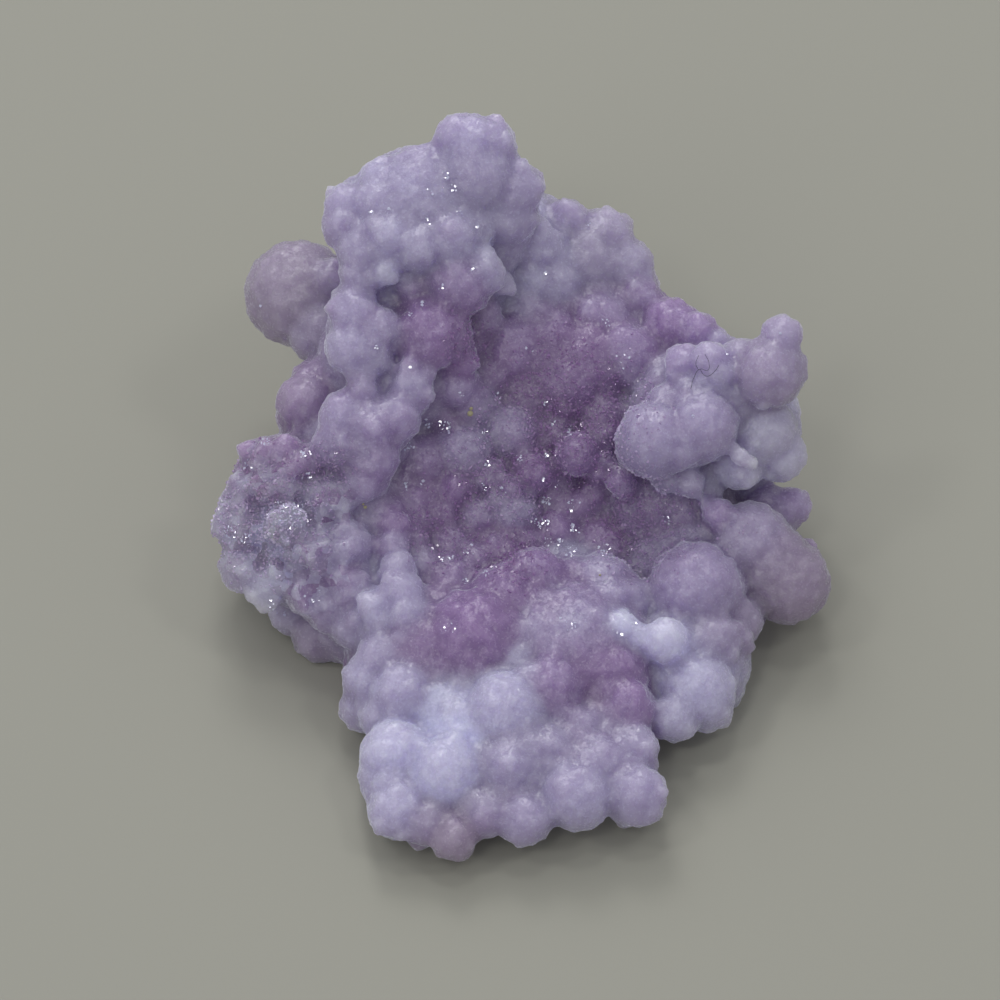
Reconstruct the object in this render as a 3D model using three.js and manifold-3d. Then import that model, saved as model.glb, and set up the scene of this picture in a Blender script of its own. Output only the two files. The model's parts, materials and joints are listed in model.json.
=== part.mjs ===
// A loose specimen of grape chalcedony: round globules of quartz grown over each other into one solid piece.
// The cluster leans back, so that its best face looks up at about 50 degrees.
// That face is a shallow hollow, with a wall and a summit on its left, a cluster on its right
// and an apron below.
// Units are millimetres. +Z is up, and the origin is on the flat break that the specimen rests on.

import * as THREE from "three";
import { mergeVertices } from "three/addons/utils/BufferGeometryUtils.js";
import Module from "manifold-3d";

const wasm = await Module();
wasm.setup();

// Driving dimensions

const FACE_ELEVATION = 50; // degrees above the level at which the face looks up
const FACE_HEIGHT = 8.4; // from the flat break to the middle of the face
const SEATING = 0.35; // least height above the break of a globule of the back
const WANTED_TRIANGLES = 9300;
const SEED = 20;

// Each globule is [across, up, out, radius], seen square on: out is towards the eye,
// and zero is the middle of the face.

const CORE = [
  [-3.0, 12.5, -6.4, 5.0],
  [0.5, 11.5, -8.0, 4.5],
  [-5.0, 7.0, -5.2, 4.6],
  [-7.5, 2.0, -4.9, 4.0],
  [-10.2, -1.6, -4.4, 3.4],
  [-5.6, -4.8, -4.2, 4.2],
  [0.0, -1.0, -7.2, 4.4],
  [2.0, 6.0, -9.2, 6.2],
  [4.5, 1.0, -9.6, 5.8],
  [4.0, 10.3, -9.0, 4.2],
  [6.2, 7.2, -8.6, 4.0],
  [9.8, 4.0, -5.0, 3.9],
  [12.5, 4.0, -4.8, 2.8],
  [9.5, -4.0, -5.7, 4.5],
  [12.2, -3.0, -4.6, 2.9],
  [9.2, -8.2, -1.7, 3.4],
  [-3.0, -8.5, -2.2, 4.9],
  [3.5, -8.5, -1.8, 4.9],
  [-1.5, -12.4, 1.0, 3.6],
  [4.0, -12.8, 1.4, 3.2],
];

// Bodies just under the face's globules, which close the gaps between them

const BED = [
  [-1.6, 16.6, -3.2, 2.0],
  [-6.2, 14.6, -3.2, 2.2],
  [-0.6, 13.6, -4.2, 2.6],
  [-5.6, 11.6, -2.9, 2.2],
  [-3.0, 10.6, -3.4, 2.4],
  [-6.6, 8.4, -2.4, 2.2],
  [-3.6, 7.4, -3.2, 2.2],
  [-5.4, 5.4, -2.4, 2.2],
  [-6.6, 3.2, -2.2, 2.2],
  [-7.4, 0.6, -2.4, 2.2],
  [-8.9, 8.6, -5.2, 1.9],
  [-9.2, 4.4, -4.2, 2.2],
  [-12.4, -0.6, -3.0, 1.9],
  [-12.0, -2.8, -2.9, 1.9],
  [-9.9, -3.2, -2.6, 2.4],
  [-7.6, -3.4, -2.4, 2.3],
  [-7.4, -5.6, -2.2, 1.8],
  [-5.6, -6.4, -0.7, 2.1],
  [-5.6, -9.6, 0.2, 2.1],
  [-4.6, -13.4, 2.2, 2.5],
  [-5.2, -14.2, 3.8, 1.6],
  [-2.9, -14.6, 3.2, 2.1],
  [0.4, -14.2, 3.3, 2.0],
  [3.8, -13.6, 2.9, 2.4],
  [5.7, -13.4, 2.9, 2.2],
  [1.2, -11.6, 1.8, 2.6],
  [5.6, -10.6, 0.8, 2.4],
  [3.4, -4.9, -2.0, 2.2],
  [9.2, -8.8, -0.4, 2.4],
  [10.8, -6.2, -2.2, 2.2],
  [13.2, -3.2, -4.0, 2.4],
  [9.2, 4.2, -2.6, 2.2],
  [11.6, 5.4, -2.8, 2.1],
  [13.0, 3.0, -3.9, 2.0],
  [13.6, 7.0, -2.4, 1.3],
  [4.2, 12.6, -7.0, 2.3],
  [2.2, 12.0, -6.0, 2.2],
  [8.4, 8.2, -6.4, 1.9],
  [-12.2, 0.2, -2.2, 1.6],
  [-9.8, 0.2, -1.6, 1.5],
  [-8.5, -1.1, -1.7, 1.5],
  [4.2, 6.6, -5.9, 3.1],
  [1.6, 7.0, -5.6, 2.7],
  [2.2, -7.4, -0.4, 3.1],
  [1.6, -13.0, 2.8, 2.6],
];

const SUMMIT = [
  [-2.1, 18.2, -1.6, 1.25],
  [-0.4, 17.9, -1.5, 1.3],
  [-1.2, 16.4, -2.2, 2.4],
  [0.9, 15.7, -1.9, 1.4],
  [0.2, 14.4, -2.6, 1.8],
  [-4.0, 14.9, -2.7, 3.0],
  [-3.9, 16.5, -1.7, 1.4],
  [-6.0, 16.1, -1.9, 1.15],
  [-5.9, 14.6, -1.7, 1.9],
  [-7.7, 14.8, -1.7, 1.2],
  [-7.8, 13.6, -1.3, 1.15],
  [-6.9, 12.6, -1.0, 1.4],
  [-5.6, 13.2, -0.5, 1.3],
  [-4.2, 12.8, -0.7, 1.5],
  [-2.5, 13.2, -0.9, 1.6],
  [-1.3, 13.6, -1.4, 1.2],
  [-1.3, 17.7, -1.7, 1.7],
];

const WALL = [
  [-6.9, 11.4, -0.9, 1.25],
  [-5.7, 11.4, -0.2, 0.75],
  [-4.4, 10.6, -1.7, 1.1],
  [-2.0, 10.9, -1.2, 1.75],
  [-0.9, 11.4, -1.0, 1.15],
  [0.1, 10.9, -2.6, 0.7],
  [-7.3, 9.3, -0.7, 1.45],
  [-7.4, 7.6, -0.4, 1.45],
  [-6.2, 8.5, -0.5, 1.3],
  [-6.4, 7.1, -0.3, 1.0],
  [-3.4, 8.3, -1.5, 2.1],
  [-2.0, 7.0, -1.6, 1.0],
  [-4.4, 5.7, -0.5, 1.15],
  [-4.6, 6.6, -0.1, 0.6],
  [-6.9, 5.6, 0.0, 0.85],
  [-7.8, 4.2, -0.3, 1.35],
  [-5.2, 4.1, -0.2, 1.35],
  [-6.4, 3.6, 0.0, 1.4],
  [-8.0, 2.8, -0.5, 1.45],
  [-6.3, 2.2, -0.2, 1.35],
  [-6.8, 0.9, -0.2, 1.0],
];

const LEFT_OUTLIERS = [
  [-10.25, 10.5, -6.2, 2.75],
  [-8.6, 11.2, -4.2, 0.8],
  [-8.4, 8.4, -5.4, 1.9],
  [-9.8, 4.95, -3.2, 1.5],
  [-9.0, 6.0, -3.8, 1.3],
  [-9.2, -6.8, -3.9, 1.4],
  [-10.6, -5.6, -4.3, 1.2],
  [-7.8, -6.4, -3.6, 1.9],
];

const WING = [
  [-11.2, 1.2, -2.4, 2.15],
  [-12.2, 2.2, -1.8, 0.95],
  [-10.9, 2.3, -1.2, 1.1],
  [-12.5, 0.6, -1.4, 1.0],
  [-11.0, 0.6, -0.7, 1.1],
  [-9.7, 1.7, -1.1, 1.15],
  [-8.5, 0.2, -1.2, 1.4],
  [-13.0, -1.2, -1.6, 1.45],
  [-13.95, -1.4, -1.2, 0.65],
  [-12.8, -3.4, -1.7, 1.35],
  [-11.5, -4.1, -1.1, 1.2],
  [-10.8, -1.2, -1.2, 1.6],
  [-9.5, -4.7, -1.0, 1.25],
  [-8.5, -5.7, -0.9, 1.05],
  [-9.2, -2.6, -0.9, 1.6],
  [-7.6, -2.2, -0.8, 1.3],
  [-7.5, -4.4, -0.7, 1.4],
  [-7.3, -6.3, -0.6, 1.25],
  [-6.0, -0.8, -1.6, 1.2],
];

const RIM = [
  [-5.4, -1.0, -0.9, 0.7],
  [-5.3, -2.2, -0.5, 0.8],
  [-5.1, -3.4, 0.1, 0.9],
  [-4.9, -4.6, 0.6, 1.1],
  [-4.7, -5.7, 0.9, 1.2],
  [-4.5, -6.7, 1.1, 1.05],
  [-6.0, -5.6, 0.4, 1.3],
  [-5.8, -7.8, 0.9, 1.4],
  [-6.6, -8.9, 0.9, 1.3],
  [-7.1, -9.3, 0.6, 0.85],
  [-6.8, -10.4, 0.3, 1.3],
  [-4.9, -9.6, 2.0, 1.6],
  [-5.9, -10.8, 1.8, 1.2],
  [-5.2, -12.6, 3.4, 1.8],
  [-5.8, -13.8, 3.6, 1.3],
  [-5.0, -15.3, 4.7, 1.6],
];

const APRON = [
  [1.7, -3.8, -0.8, 1.5],
  [3.5, -4.4, -1.2, 1.2],
  [3.8, -7.6, 1.6, 1.2],
  [1.9, -6.2, 0.6, 1.2],
  [-0.9, -4.6, -0.6, 1.0],
  [4.3, -8.6, 2.1, 1.1],
  [0.9, -8.1, 2.0, 1.0],
  [-1.9, -9.0, 1.9, 1.1],
  [0.3, -5.2, -0.4, 2.1],
  [-2.6, -4.4, -1.6, 1.8],
  [-1.2, -7.2, 0.4, 2.9],
  [-3.2, -7.4, 1.0, 1.6],
  [5.3, -5.2, -0.5, 1.5],
  [6.4, -5.0, -0.9, 1.25],
  [3.5, -6.5, 1.4, 1.1],
  [5.9, -6.4, 1.2, 1.0],
  [6.9, -6.9, 1.4, 0.8],
  [2.5, -7.8, 2.2, 0.9],
  [2.5, -9.3, 2.7, 1.65],
  [0.3, -10.5, 3.0, 2.1],
  [-2.6, -10.6, 1.8, 1.9],
  [5.4, -8.9, 1.0, 2.2],
  [6.2, -10.4, 2.2, 1.6],
  [4.0, -11.5, 3.0, 1.4],
  [-2.7, -13.5, 4.3, 1.9],
  [0.4, -13.2, 4.2, 1.7],
  [2.4, -12.4, 3.9, 1.4],
  [4.9, -13.0, 4.1, 1.4],
  [6.6, -12.4, 3.2, 1.35],
  [6.7, -14.6, 4.5, 1.65],
  [3.8, -14.6, 4.8, 1.85],
  [1.2, -15.7, 5.1, 1.45],
  [-0.7, -15.4, 4.9, 1.35],
  [-3.6, -15.9, 5.0, 1.3],
  [-2.3, -16.6, 5.4, 1.25],
];

const RIGHT_LOBES = [
  [9.85, -4.5, -1.3, 2.5],
  [11.8, -6.1, -1.6, 1.45],
  [10.6, -7.0, -0.2, 1.6],
  [11.7, -7.0, -0.8, 1.0],
  [8.2, -7.0, 1.6, 1.2],
  [9.8, -9.5, 0.6, 2.0],
  [8.7, -10.8, 1.5, 1.35],
  [10.4, -10.4, 0.5, 1.25],
  [14.5, -4.1, -3.0, 2.2],
  [13.6, -3.2, -2.9, 2.2],
  [12.6, -2.2, -2.8, 2.2],
  [11.0, -0.7, -2.0, 0.85],
  [14.8, -0.3, -5.0, 1.0],
  [13.6, -0.8, -5.2, 1.6],
];

const RIGHT_CLUSTER = [
  [7.7, 3.0, -0.9, 2.0],
  [9.0, 2.9, -0.6, 1.5],
  [10.1, 3.7, -1.0, 1.9],
  [8.4, 4.8, -1.6, 1.1],
  [9.6, 5.4, -1.5, 1.1],
  [10.9, 6.3, -1.2, 1.05],
  [13.5, 6.4, -1.4, 1.85],
  [14.15, 8.2, -1.5, 1.15],
  [14.7, 6.9, -1.6, 0.85],
  [12.0, 7.2, -2.0, 1.0],
  [10.5, 7.1, -1.0, 0.95],
  [9.1, 6.9, -1.7, 0.95],
  [8.4, 1.1, -1.6, 0.85],
  [9.5, 0.9, -1.6, 0.75],
  [6.1, 0.8, -2.3, 0.75],
  [12.0, 1.7, -2.4, 1.25],
  [13.2, 3.4, -3.0, 1.9],
  [14.1, 2.3, -3.4, 1.4],
  [12.0, 2.2, -0.6, 0.5],
  [12.6, 1.8, -0.5, 0.4],
];

const HOLLOW = [
  [3.9, 2.3, -2.8, 1.15],
  [5.1, 1.8, -3.2, 1.0],
  [4.8, 0.5, -3.6, 0.7],
  [0.6, -0.6, -2.9, 1.25],
  [0.6, 0.4, -2.5, 0.65],
  [-1.1, -0.8, -2.8, 1.1],
  [-3.3, -0.8, -3.1, 1.6],
  [-4.0, 1.9, -3.2, 1.7],
  [-2.0, 2.4, -3.4, 1.8],
  [0.6, 3.4, -3.8, 1.55],
  [-1.6, 5.0, -3.6, 1.6],
  [-0.9, 9.3, -3.3, 1.05],
  [0.6, 7.6, -4.5, 1.9],
  [2.3, 8.5, -5.0, 1.8],
  [3.4, 5.8, -4.3, 1.9],
  [5.0, 9.0, -5.6, 1.8],
  [6.3, 7.2, -4.8, 1.9],
  [5.2, 4.2, -4.2, 1.4],
  [7.6, 5.6, -4.6, 1.2],
  [2.8, -1.6, -3.6, 1.2],
  [-3.8, 0.4, -2.6, 1.0],
  [-4.7, -1.7, -1.7, 1.0],
  [-2.5, -2.3, -2.4, 1.2],
  [0.1, -2.7, -2.3, 1.1],
  [-1.2, -3.0, -1.9, 1.0],
  [-3.9, -3.2, -1.3, 1.0],
  [8.6, -1.4, -4.1, 1.0],
  [7.9, -2.9, -3.6, 1.05],
  [9.6, -0.5, -3.3, 0.95],
  [10.5, 0.4, -3.0, 0.85],
  [1.6, 1.4, -3.3, 1.2],
  [2.9, 3.6, -3.9, 1.0],
  [-0.6, 1.2, -2.9, 1.0],
  [-2.2, 0.6, -2.5, 1.0],
  [-2.6, 3.9, -3.0, 0.9],
  [-0.4, 6.4, -3.6, 1.0],
  [-1.3, 7.9, -3.2, 0.9],
  [1.9, 5.4, -4.2, 1.1],
  [1.4, 9.6, -4.4, 1.1],
  [3.8, 9.9, -5.4, 1.1],
  [4.8, 7.3, -4.7, 1.0],
  [7.0, 9.1, -6.0, 1.1],
  [6.6, 4.4, -4.2, 0.9],
  [1.4, -2.3, -2.8, 1.0],
  [4.0, -0.3, -4.0, 1.0],
  [6.4, -0.4, -4.6, 0.9],
  [5.2, -2.0, -4.0, 1.3],
  [7.2, -1.4, -4.6, 1.4],
];

const BACK_RIM = [
  [3.3, 14.0, -6.2, 1.35],
  [5.4, 13.6, -6.4, 1.35],
  [4.4, 12.3, -6.2, 1.8],
  [1.5, 12.9, -4.6, 1.6],
  [2.8, 11.1, -4.9, 1.3],
  [1.6, 11.3, -4.4, 1.15],
  [6.3, 11.9, -6.6, 1.6],
  [6.8, 10.3, -6.4, 1.5],
  [8.7, 8.8, -5.2, 1.5],
  [9.9, 8.5, -4.4, 1.15],
  [10.9, 7.6, -4.4, 1.1],
];

// The foot is [across, back, up, radius] in the specimen's own frame: the bulk that carries the face.

const FOOT = [
  [3.2, -1.6, 1.0, 4.4],
  [-2.0, 9.6, 4.6, 5.2],
  [3.6, 8.6, 4.2, 5.0],
  [-5.2, 2.8, 3.8, 4.2],
  [8.4, 3.6, 3.6, 4.0],
  [0.0, 0.6, 1.4, 4.6],
];

// The back and the underside carry more globules of these radii, where the face can't be seen.

const BACK_RADII = [1.1, 2.0];
const BACK_TRIES = 90; // directions tried round each core mass
const SMALL_BIAS = 1.5; // power that makes small radii the commoner ones
const BACK_SPACING = 0.66; // least distance between neighbours, in sums of their radii
const BACK_SINK = 0.3; // how much of its radius a globule is sunk into its mass
const FACE_LIMIT = 0.1; // cosine past which a direction faces the eye
const GOLDEN_ANGLE = Math.PI * (3 - Math.sqrt(5));
const OUTLINE_STEPS = 10; // points tried round a globule's edge
const OUTLINE_SLACK = 0.1;

// Faceting: [largest radius, subdivisions], and how the triangles are thinned out afterwards

const BALL_DETAIL = [
  [0.7, 1],
  [1.25, 2],
  [2.1, 3],
  [3.2, 4],
  [9.0, 6],
];
const ANCHOR_SHARE = 0.002; // pull of the triangles' own middles, against the pull of their planes
const BREAK_TOLERANCE = 1e-4; // a corner this near the break's height is on it
const LEAST_SHAPE = 0.12; // twice a triangle's area over its longest side squared
const MOST_TURN = 0.5; // cosine of the most that a triangle may turn at a time
const PASS_SHARE = 0.04; // edges drawn together before the costs are worked out again
const MOST_DRIFT = 1.5; // how far a new corner may be from its edge's middle, in edge lengths
const NEEDLE_GAIN = 1.2; // how much thinner a thin face may not become
const LEAST_AREA = 1e-4; // a face with less may turn over, because it is too small to show
const LEAST_EDGES = 8; // drawn together in one pass
const WELD_DISTANCE = 1e-5;
const GROUND_SIZE = 80; // side of the block that cuts the break

// Repeatable random numbers from 0 to 1

const RANDOM_STEP = 16807;
const RANDOM_RANGE = 2147483647;

function randomSource(seed) {
  let state = seed;
  return () => {
    state = (state * RANDOM_STEP) % RANDOM_RANGE;
    return state / RANDOM_RANGE;
  };
}

// The face's frame in the specimen's: across, up the face, and out of it towards the eye

const LEAN = THREE.MathUtils.degToRad(FACE_ELEVATION);
const OUT = new THREE.Vector3(0, -Math.cos(LEAN), Math.sin(LEAN));
const UP = new THREE.Vector3(0, Math.sin(LEAN), Math.cos(LEAN));

function fromFace([across, up, out, radius]) {
  const centre = new THREE.Vector3(across, 0, FACE_HEIGHT);
  centre.addScaledVector(UP, up).addScaledVector(OUT, out);
  return { centre, radius };
}

function fromFoot([across, back, up, radius]) {
  return { centre: new THREE.Vector3(across, back, up), radius };
}

// Whether a globule, seen square on, lies behind what the face already shows

function isBehindFace(globule, shown) {
  for (let step = 0; step < OUTLINE_STEPS; step += 1) {
    const turn = (2 * Math.PI * step) / OUTLINE_STEPS;
    const edge = globule.centre.clone();
    edge.addScaledVector(UP, globule.radius * Math.sin(turn));
    edge.x += globule.radius * Math.cos(turn);
    const covered = shown.some((other) => {
      const away = edge.clone().sub(other.centre);
      away.addScaledVector(OUT, -away.dot(OUT));
      return away.length() < other.radius + OUTLINE_SLACK;
    });
    if (!covered) return false;
  }
  return true;
}

// Globules over the sides, the back and the underside, spread evenly round each mass
// and thinned where they crowd

function backGlobules(masses, shown) {
  const random = randomSource(SEED);
  const [least, most] = BACK_RADII;
  const grown = [];
  for (const mass of masses) {
    for (let i = 0; i < BACK_TRIES; i += 1) {
      const height = 1 - (2 * (i + 0.5)) / BACK_TRIES;
      const turn = i * GOLDEN_ANGLE + random();
      const ring = Math.sqrt(1 - height * height);
      const direction = new THREE.Vector3(ring * Math.cos(turn), ring * Math.sin(turn), height);
      const radius = least + (most - least) * random() ** SMALL_BIAS;
      const reach = mass.radius - radius * BACK_SINK;
      const centre = mass.centre.clone().addScaledVector(direction, reach);
      const globule = { centre, radius };
      if (direction.dot(OUT) > FACE_LIMIT) continue;
      if (centre.z - radius < SEATING) continue;
      const isInside = (other) => other.centre.distanceTo(centre) < other.radius - radius * BACK_SINK;
      if (masses.some((other) => other !== mass && isInside(other))) continue;
      if (grown.some((g) => g.centre.distanceTo(centre) < BACK_SPACING * (g.radius + radius))) continue;
      if (!isBehindFace(globule, shown)) continue;
      grown.push(globule);
    }
  }
  return grown;
}

// A closed solid from a three.js geometry

function solidFrom(geometry) {
  const bare = geometry.clone();
  bare.deleteAttribute("normal");
  bare.deleteAttribute("uv");
  const merged = mergeVertices(bare, WELD_DISTANCE);
  const count = merged.attributes.position.count;
  const triVerts = merged.index
    ? new Uint32Array(merged.index.array)
    : Uint32Array.from({ length: count }, (_, i) => i);
  const vertProperties = new Float32Array(merged.attributes.position.array);
  return new wasm.Manifold(new wasm.Mesh({ numProp: 3, vertProperties, triVerts }));
}

// A ball with its facets turned at random, so that neighbours don't line up

function ball({ centre, radius }, random) {
  const detail = BALL_DETAIL.find(([largest]) => radius <= largest)[1];
  const geometry = new THREE.IcosahedronGeometry(radius, detail);
  geometry.rotateX(random() * Math.PI);
  geometry.rotateY(random() * Math.PI);
  geometry.rotateZ(random() * Math.PI);
  geometry.translate(centre.x, centre.y, centre.z);
  return solidFrom(geometry);
}

// Least squares planes: each corner keeps the sum of the planes that meet there, as ten numbers

const TERMS = 10;

function addPlane(planes, corner, normal, offset, weight) {
  const { x, y, z } = normal;
  const squares = [x * x, x * y, x * z, y * y, y * z, z * z];
  const terms = [...squares, x * offset, y * offset, z * offset, offset * offset];
  terms.forEach((term, i) => {
    planes[corner * TERMS + i] += term * weight;
  });
}

function addAnchor(planes, corner, point, weight) {
  const { x, y, z } = point;
  const terms = [1, 0, 0, 1, 0, 1, -x, -y, -z, point.lengthSq()];
  terms.forEach((term, i) => {
    planes[corner * TERMS + i] += term * weight;
  });
}

function misfit(q, { x, y, z }) {
  const square = q[0] * x * x + q[3] * y * y + q[5] * z * z;
  const mixed = q[1] * x * y + q[2] * x * z + q[4] * y * z;
  return square + 2 * mixed + 2 * (q[6] * x + q[7] * y + q[8] * z) + q[9];
}

function bestPoint(q) {
  const minorX = q[3] * q[5] - q[4] * q[4];
  const minorY = q[1] * q[5] - q[4] * q[2];
  const minorZ = q[1] * q[4] - q[3] * q[2];
  const whole = q[0] * minorX - q[1] * minorY + q[2] * minorZ;
  const [a, b, c] = [-q[6], -q[7], -q[8]];
  const x = a * minorX - q[1] * (b * q[5] - q[4] * c) + q[2] * (b * q[4] - q[3] * c);
  const y = q[0] * (b * q[5] - c * q[4]) - a * minorY + q[2] * (q[1] * c - b * q[2]);
  const z = q[0] * (q[3] * c - b * q[4]) - q[1] * (q[1] * c - b * q[2]) + a * minorZ;
  return new THREE.Vector3(x, y, z).divideScalar(whole);
}

// Draws short and flat edges together until few enough triangles are left; the flat break stays flat

function thinOut(solid, wanted) {
  const mesh = solid.getMesh();
  const points = [];
  for (let i = 0; i < mesh.numVert; i += 1) {
    points.push(new THREE.Vector3().fromArray(mesh.vertProperties, i * mesh.numProp));
  }
  const faces = [];
  for (let i = 0; i < mesh.triVerts.length; i += 3) {
    faces.push([mesh.triVerts[i], mesh.triVerts[i + 1], mesh.triVerts[i + 2]]);
  }
  const around = points.map(() => new Set());
  faces.forEach((face, f) => face.forEach((corner) => around[corner].add(f)));
  const planes = new Float64Array(points.length * TERMS);
  const [ab, ac] = [new THREE.Vector3(), new THREE.Vector3()];
  const faceNormal = (a, b, c) => ab.subVectors(b, a).cross(ac.subVectors(c, a)).clone();
  for (const face of faces) {
    const [a, b, c] = face.map((corner) => points[corner]);
    const normal = faceNormal(a, b, c);
    const area = normal.length() / 2;
    if (area === 0) continue;
    normal.normalize();
    const middle = a.clone().add(b).add(c).divideScalar(3);
    for (const corner of face) {
      addPlane(planes, corner, normal, -normal.dot(a), area);
      addAnchor(planes, corner, middle, area * ANCHOR_SHARE);
    }
  }
  const onBreak = (corner) => Math.abs(points[corner].z) < BREAK_TOLERANCE;
  const neighbours = (corner) => {
    const found = new Set();
    for (const f of around[corner]) faces[f].forEach((other) => found.add(other));
    found.delete(corner);
    return found;
  };
  const target = (a, b) => {
    const q = planes.slice(a * TERMS, a * TERMS + TERMS).map((term, i) => term + planes[b * TERMS + i]);
    let point = bestPoint(q);
    const middle = points[a].clone().lerp(points[b], 0.5);
    if (onBreak(a) && onBreak(b)) point.z = 0;
    else if (onBreak(a)) point = points[a].clone();
    else if (onBreak(b)) point = points[b].clone();
    if (point.distanceTo(middle) > points[a].distanceTo(points[b]) * MOST_DRIFT) point = middle;
    return { point, cost: misfit(q, point) };
  };
  const staysSound = (kept, gone, point) => {
    for (const f of around[kept]) {
      if (faces[f].includes(gone)) continue;
      const before = faces[f].map((corner) => points[corner]);
      const after = faces[f].map((corner) => (corner === kept ? point : points[corner]));
      const [was, is] = [faceNormal(...before), faceNormal(...after)];
      const longest = Math.max(
        after[0].distanceToSquared(after[1]),
        after[1].distanceToSquared(after[2]),
        after[2].distanceToSquared(after[0]),
      );
      const turned = was.dot(is) < MOST_TURN * was.length() * is.length();
      const isNeedle = is.length() < LEAST_SHAPE * longest;
      if (isNeedle && is.length() * NEEDLE_GAIN < was.length()) return false;
      if (turned && was.length() > LEAST_AREA) return false;
    }
    return true;
  };

  let left = faces.length;
  while (left > wanted) {
    const edges = [];
    for (const face of faces) {
      if (!face) continue;
      for (let side = 0; side < 3; side += 1) {
        const [a, b] = [face[side], face[(side + 1) % 3]];
        if (a < b) edges.push({ a, b, ...target(a, b) });
      }
    }
    edges.sort((one, other) => one.cost - other.cost);
    const touched = new Set();
    let drawn = 0;
    const enough = Math.max(LEAST_EDGES, edges.length * PASS_SHARE);
    for (const { a, b, point } of edges) {
      if (left <= wanted || drawn > enough) break;
      if (touched.has(a) || touched.has(b)) continue;
      const [nearA, nearB] = [neighbours(a), neighbours(b)];
      const shared = [...nearA].filter((corner) => nearB.has(corner));
      if (shared.length !== 2) continue;
      if (!staysSound(a, b, point) || !staysSound(b, a, point)) continue;
      points[a] = point;
      for (let i = 0; i < TERMS; i += 1) planes[a * TERMS + i] += planes[b * TERMS + i];
      for (const f of around[b]) {
        if (faces[f].includes(a)) {
          faces[f].forEach((corner) => around[corner].delete(f));
          faces[f] = null;
          left -= 1;
        } else {
          faces[f] = faces[f].map((corner) => (corner === b ? a : corner));
          around[a].add(f);
        }
      }
      around[b].clear();
      for (const corner of [a, ...nearA, ...nearB]) touched.add(corner);
      drawn += 1;
    }
    if (drawn === 0) break;
  }

  const corners = faces.filter(Boolean).flat();
  const order = [...new Set(corners)];
  const place = new Map(order.map((corner, i) => [corner, i]));
  const geometry = new THREE.BufferGeometry();
  const flat = order.flatMap((corner) => points[corner].toArray());
  geometry.setAttribute("position", new THREE.BufferAttribute(new Float32Array(flat), 3));
  geometry.setIndex(corners.map((corner) => place.get(corner)));
  geometry.computeVertexNormals();
  return geometry;
}

// The whole specimen

function chalcedonyGeometry() {
  const seen = [
    SUMMIT, WALL, LEFT_OUTLIERS, WING, RIM, APRON, RIGHT_LOBES, RIGHT_CLUSTER, HOLLOW, BACK_RIM,
  ].flat().map(fromFace);
  const masses = [...CORE.map(fromFace), ...FOOT.map(fromFoot)];
  const back = backGlobules(masses, [...CORE.map(fromFace), ...seen]);
  const globules = [...masses, ...BED.map(fromFace), ...seen, ...back];
  const random = randomSource(SEED);
  const grown = globules.map((globule) => ball(globule, random));
  const joined = wasm.Manifold.union(grown);
  const ground = new THREE.BoxGeometry(GROUND_SIZE, GROUND_SIZE, GROUND_SIZE);
  ground.translate(0, 0, -GROUND_SIZE / 2);
  const shells = joined.subtract(solidFrom(ground)).decompose();
  const outer = shells.reduce((best, shell) => (shell.volume() > best.volume() ? shell : best));
  return thinOut(outer, WANTED_TRIANGLES);
}

const grapeChalcedony = new THREE.Mesh(
  chalcedonyGeometry(),
  new THREE.MeshStandardMaterial({ color: 0x8b7f9c, roughness: 0.55, metalness: 0 }),
);
grapeChalcedony.name = "grape_chalcedony";

const group = new THREE.Group();
group.add(grapeChalcedony);

export default group;
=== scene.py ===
# A loose specimen of grape chalcedony: round purple quartz globules grown over each other as one piece

import json
import math
import random

import bpy
import numpy as np
from mathutils import Euler, Matrix, Vector

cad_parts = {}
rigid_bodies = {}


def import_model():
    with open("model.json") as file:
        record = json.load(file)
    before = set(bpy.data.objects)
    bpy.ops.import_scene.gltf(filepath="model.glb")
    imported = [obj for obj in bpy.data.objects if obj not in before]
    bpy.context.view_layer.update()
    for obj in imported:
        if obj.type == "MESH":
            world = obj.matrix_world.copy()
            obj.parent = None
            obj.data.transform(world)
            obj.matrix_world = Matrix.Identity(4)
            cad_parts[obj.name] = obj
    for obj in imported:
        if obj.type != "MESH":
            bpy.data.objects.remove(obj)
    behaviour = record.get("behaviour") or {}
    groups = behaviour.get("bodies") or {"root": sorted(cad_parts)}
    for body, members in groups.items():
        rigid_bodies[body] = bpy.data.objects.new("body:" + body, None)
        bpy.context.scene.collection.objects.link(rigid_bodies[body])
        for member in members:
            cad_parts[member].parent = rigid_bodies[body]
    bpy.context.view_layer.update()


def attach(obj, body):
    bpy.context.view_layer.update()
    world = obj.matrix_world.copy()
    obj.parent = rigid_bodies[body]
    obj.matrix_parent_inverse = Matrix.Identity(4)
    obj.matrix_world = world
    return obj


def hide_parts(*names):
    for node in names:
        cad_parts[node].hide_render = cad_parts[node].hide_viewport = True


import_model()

bl_info = {
    "name": "Grape chalcedony specimen",
    "version": (1, 0, 0),
    "blender": (4, 5, 0),
    "location": "View3D > Sidebar > Mineral",
    "description": "Grows a cluster of purple chalcedony globules round a hollow face",
    "category": "Add Mesh",
}

# The globules are laid out in millimetres, and the finished pieces are in metres

MM = 0.001
LEAN = math.radians(50)  # how far above level the hollow face looks up
FACE_HEIGHT = 8.4  # from the flat break to the middle of the face
CUT_THRESHOLD = 1e-7  # in metres: points nearer to the break count as lying on it
UP = Vector((0, math.sin(LEAN), math.cos(LEAN)))
OUT = Vector((0, -math.cos(LEAN), math.sin(LEAN)))
FACE_MIDDLE = Vector((0, 0, FACE_HEIGHT * MM))  # in metres

# Each globule is (across, up, out, radius), seen square on; out is towards the eye, from the face's middle

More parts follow.
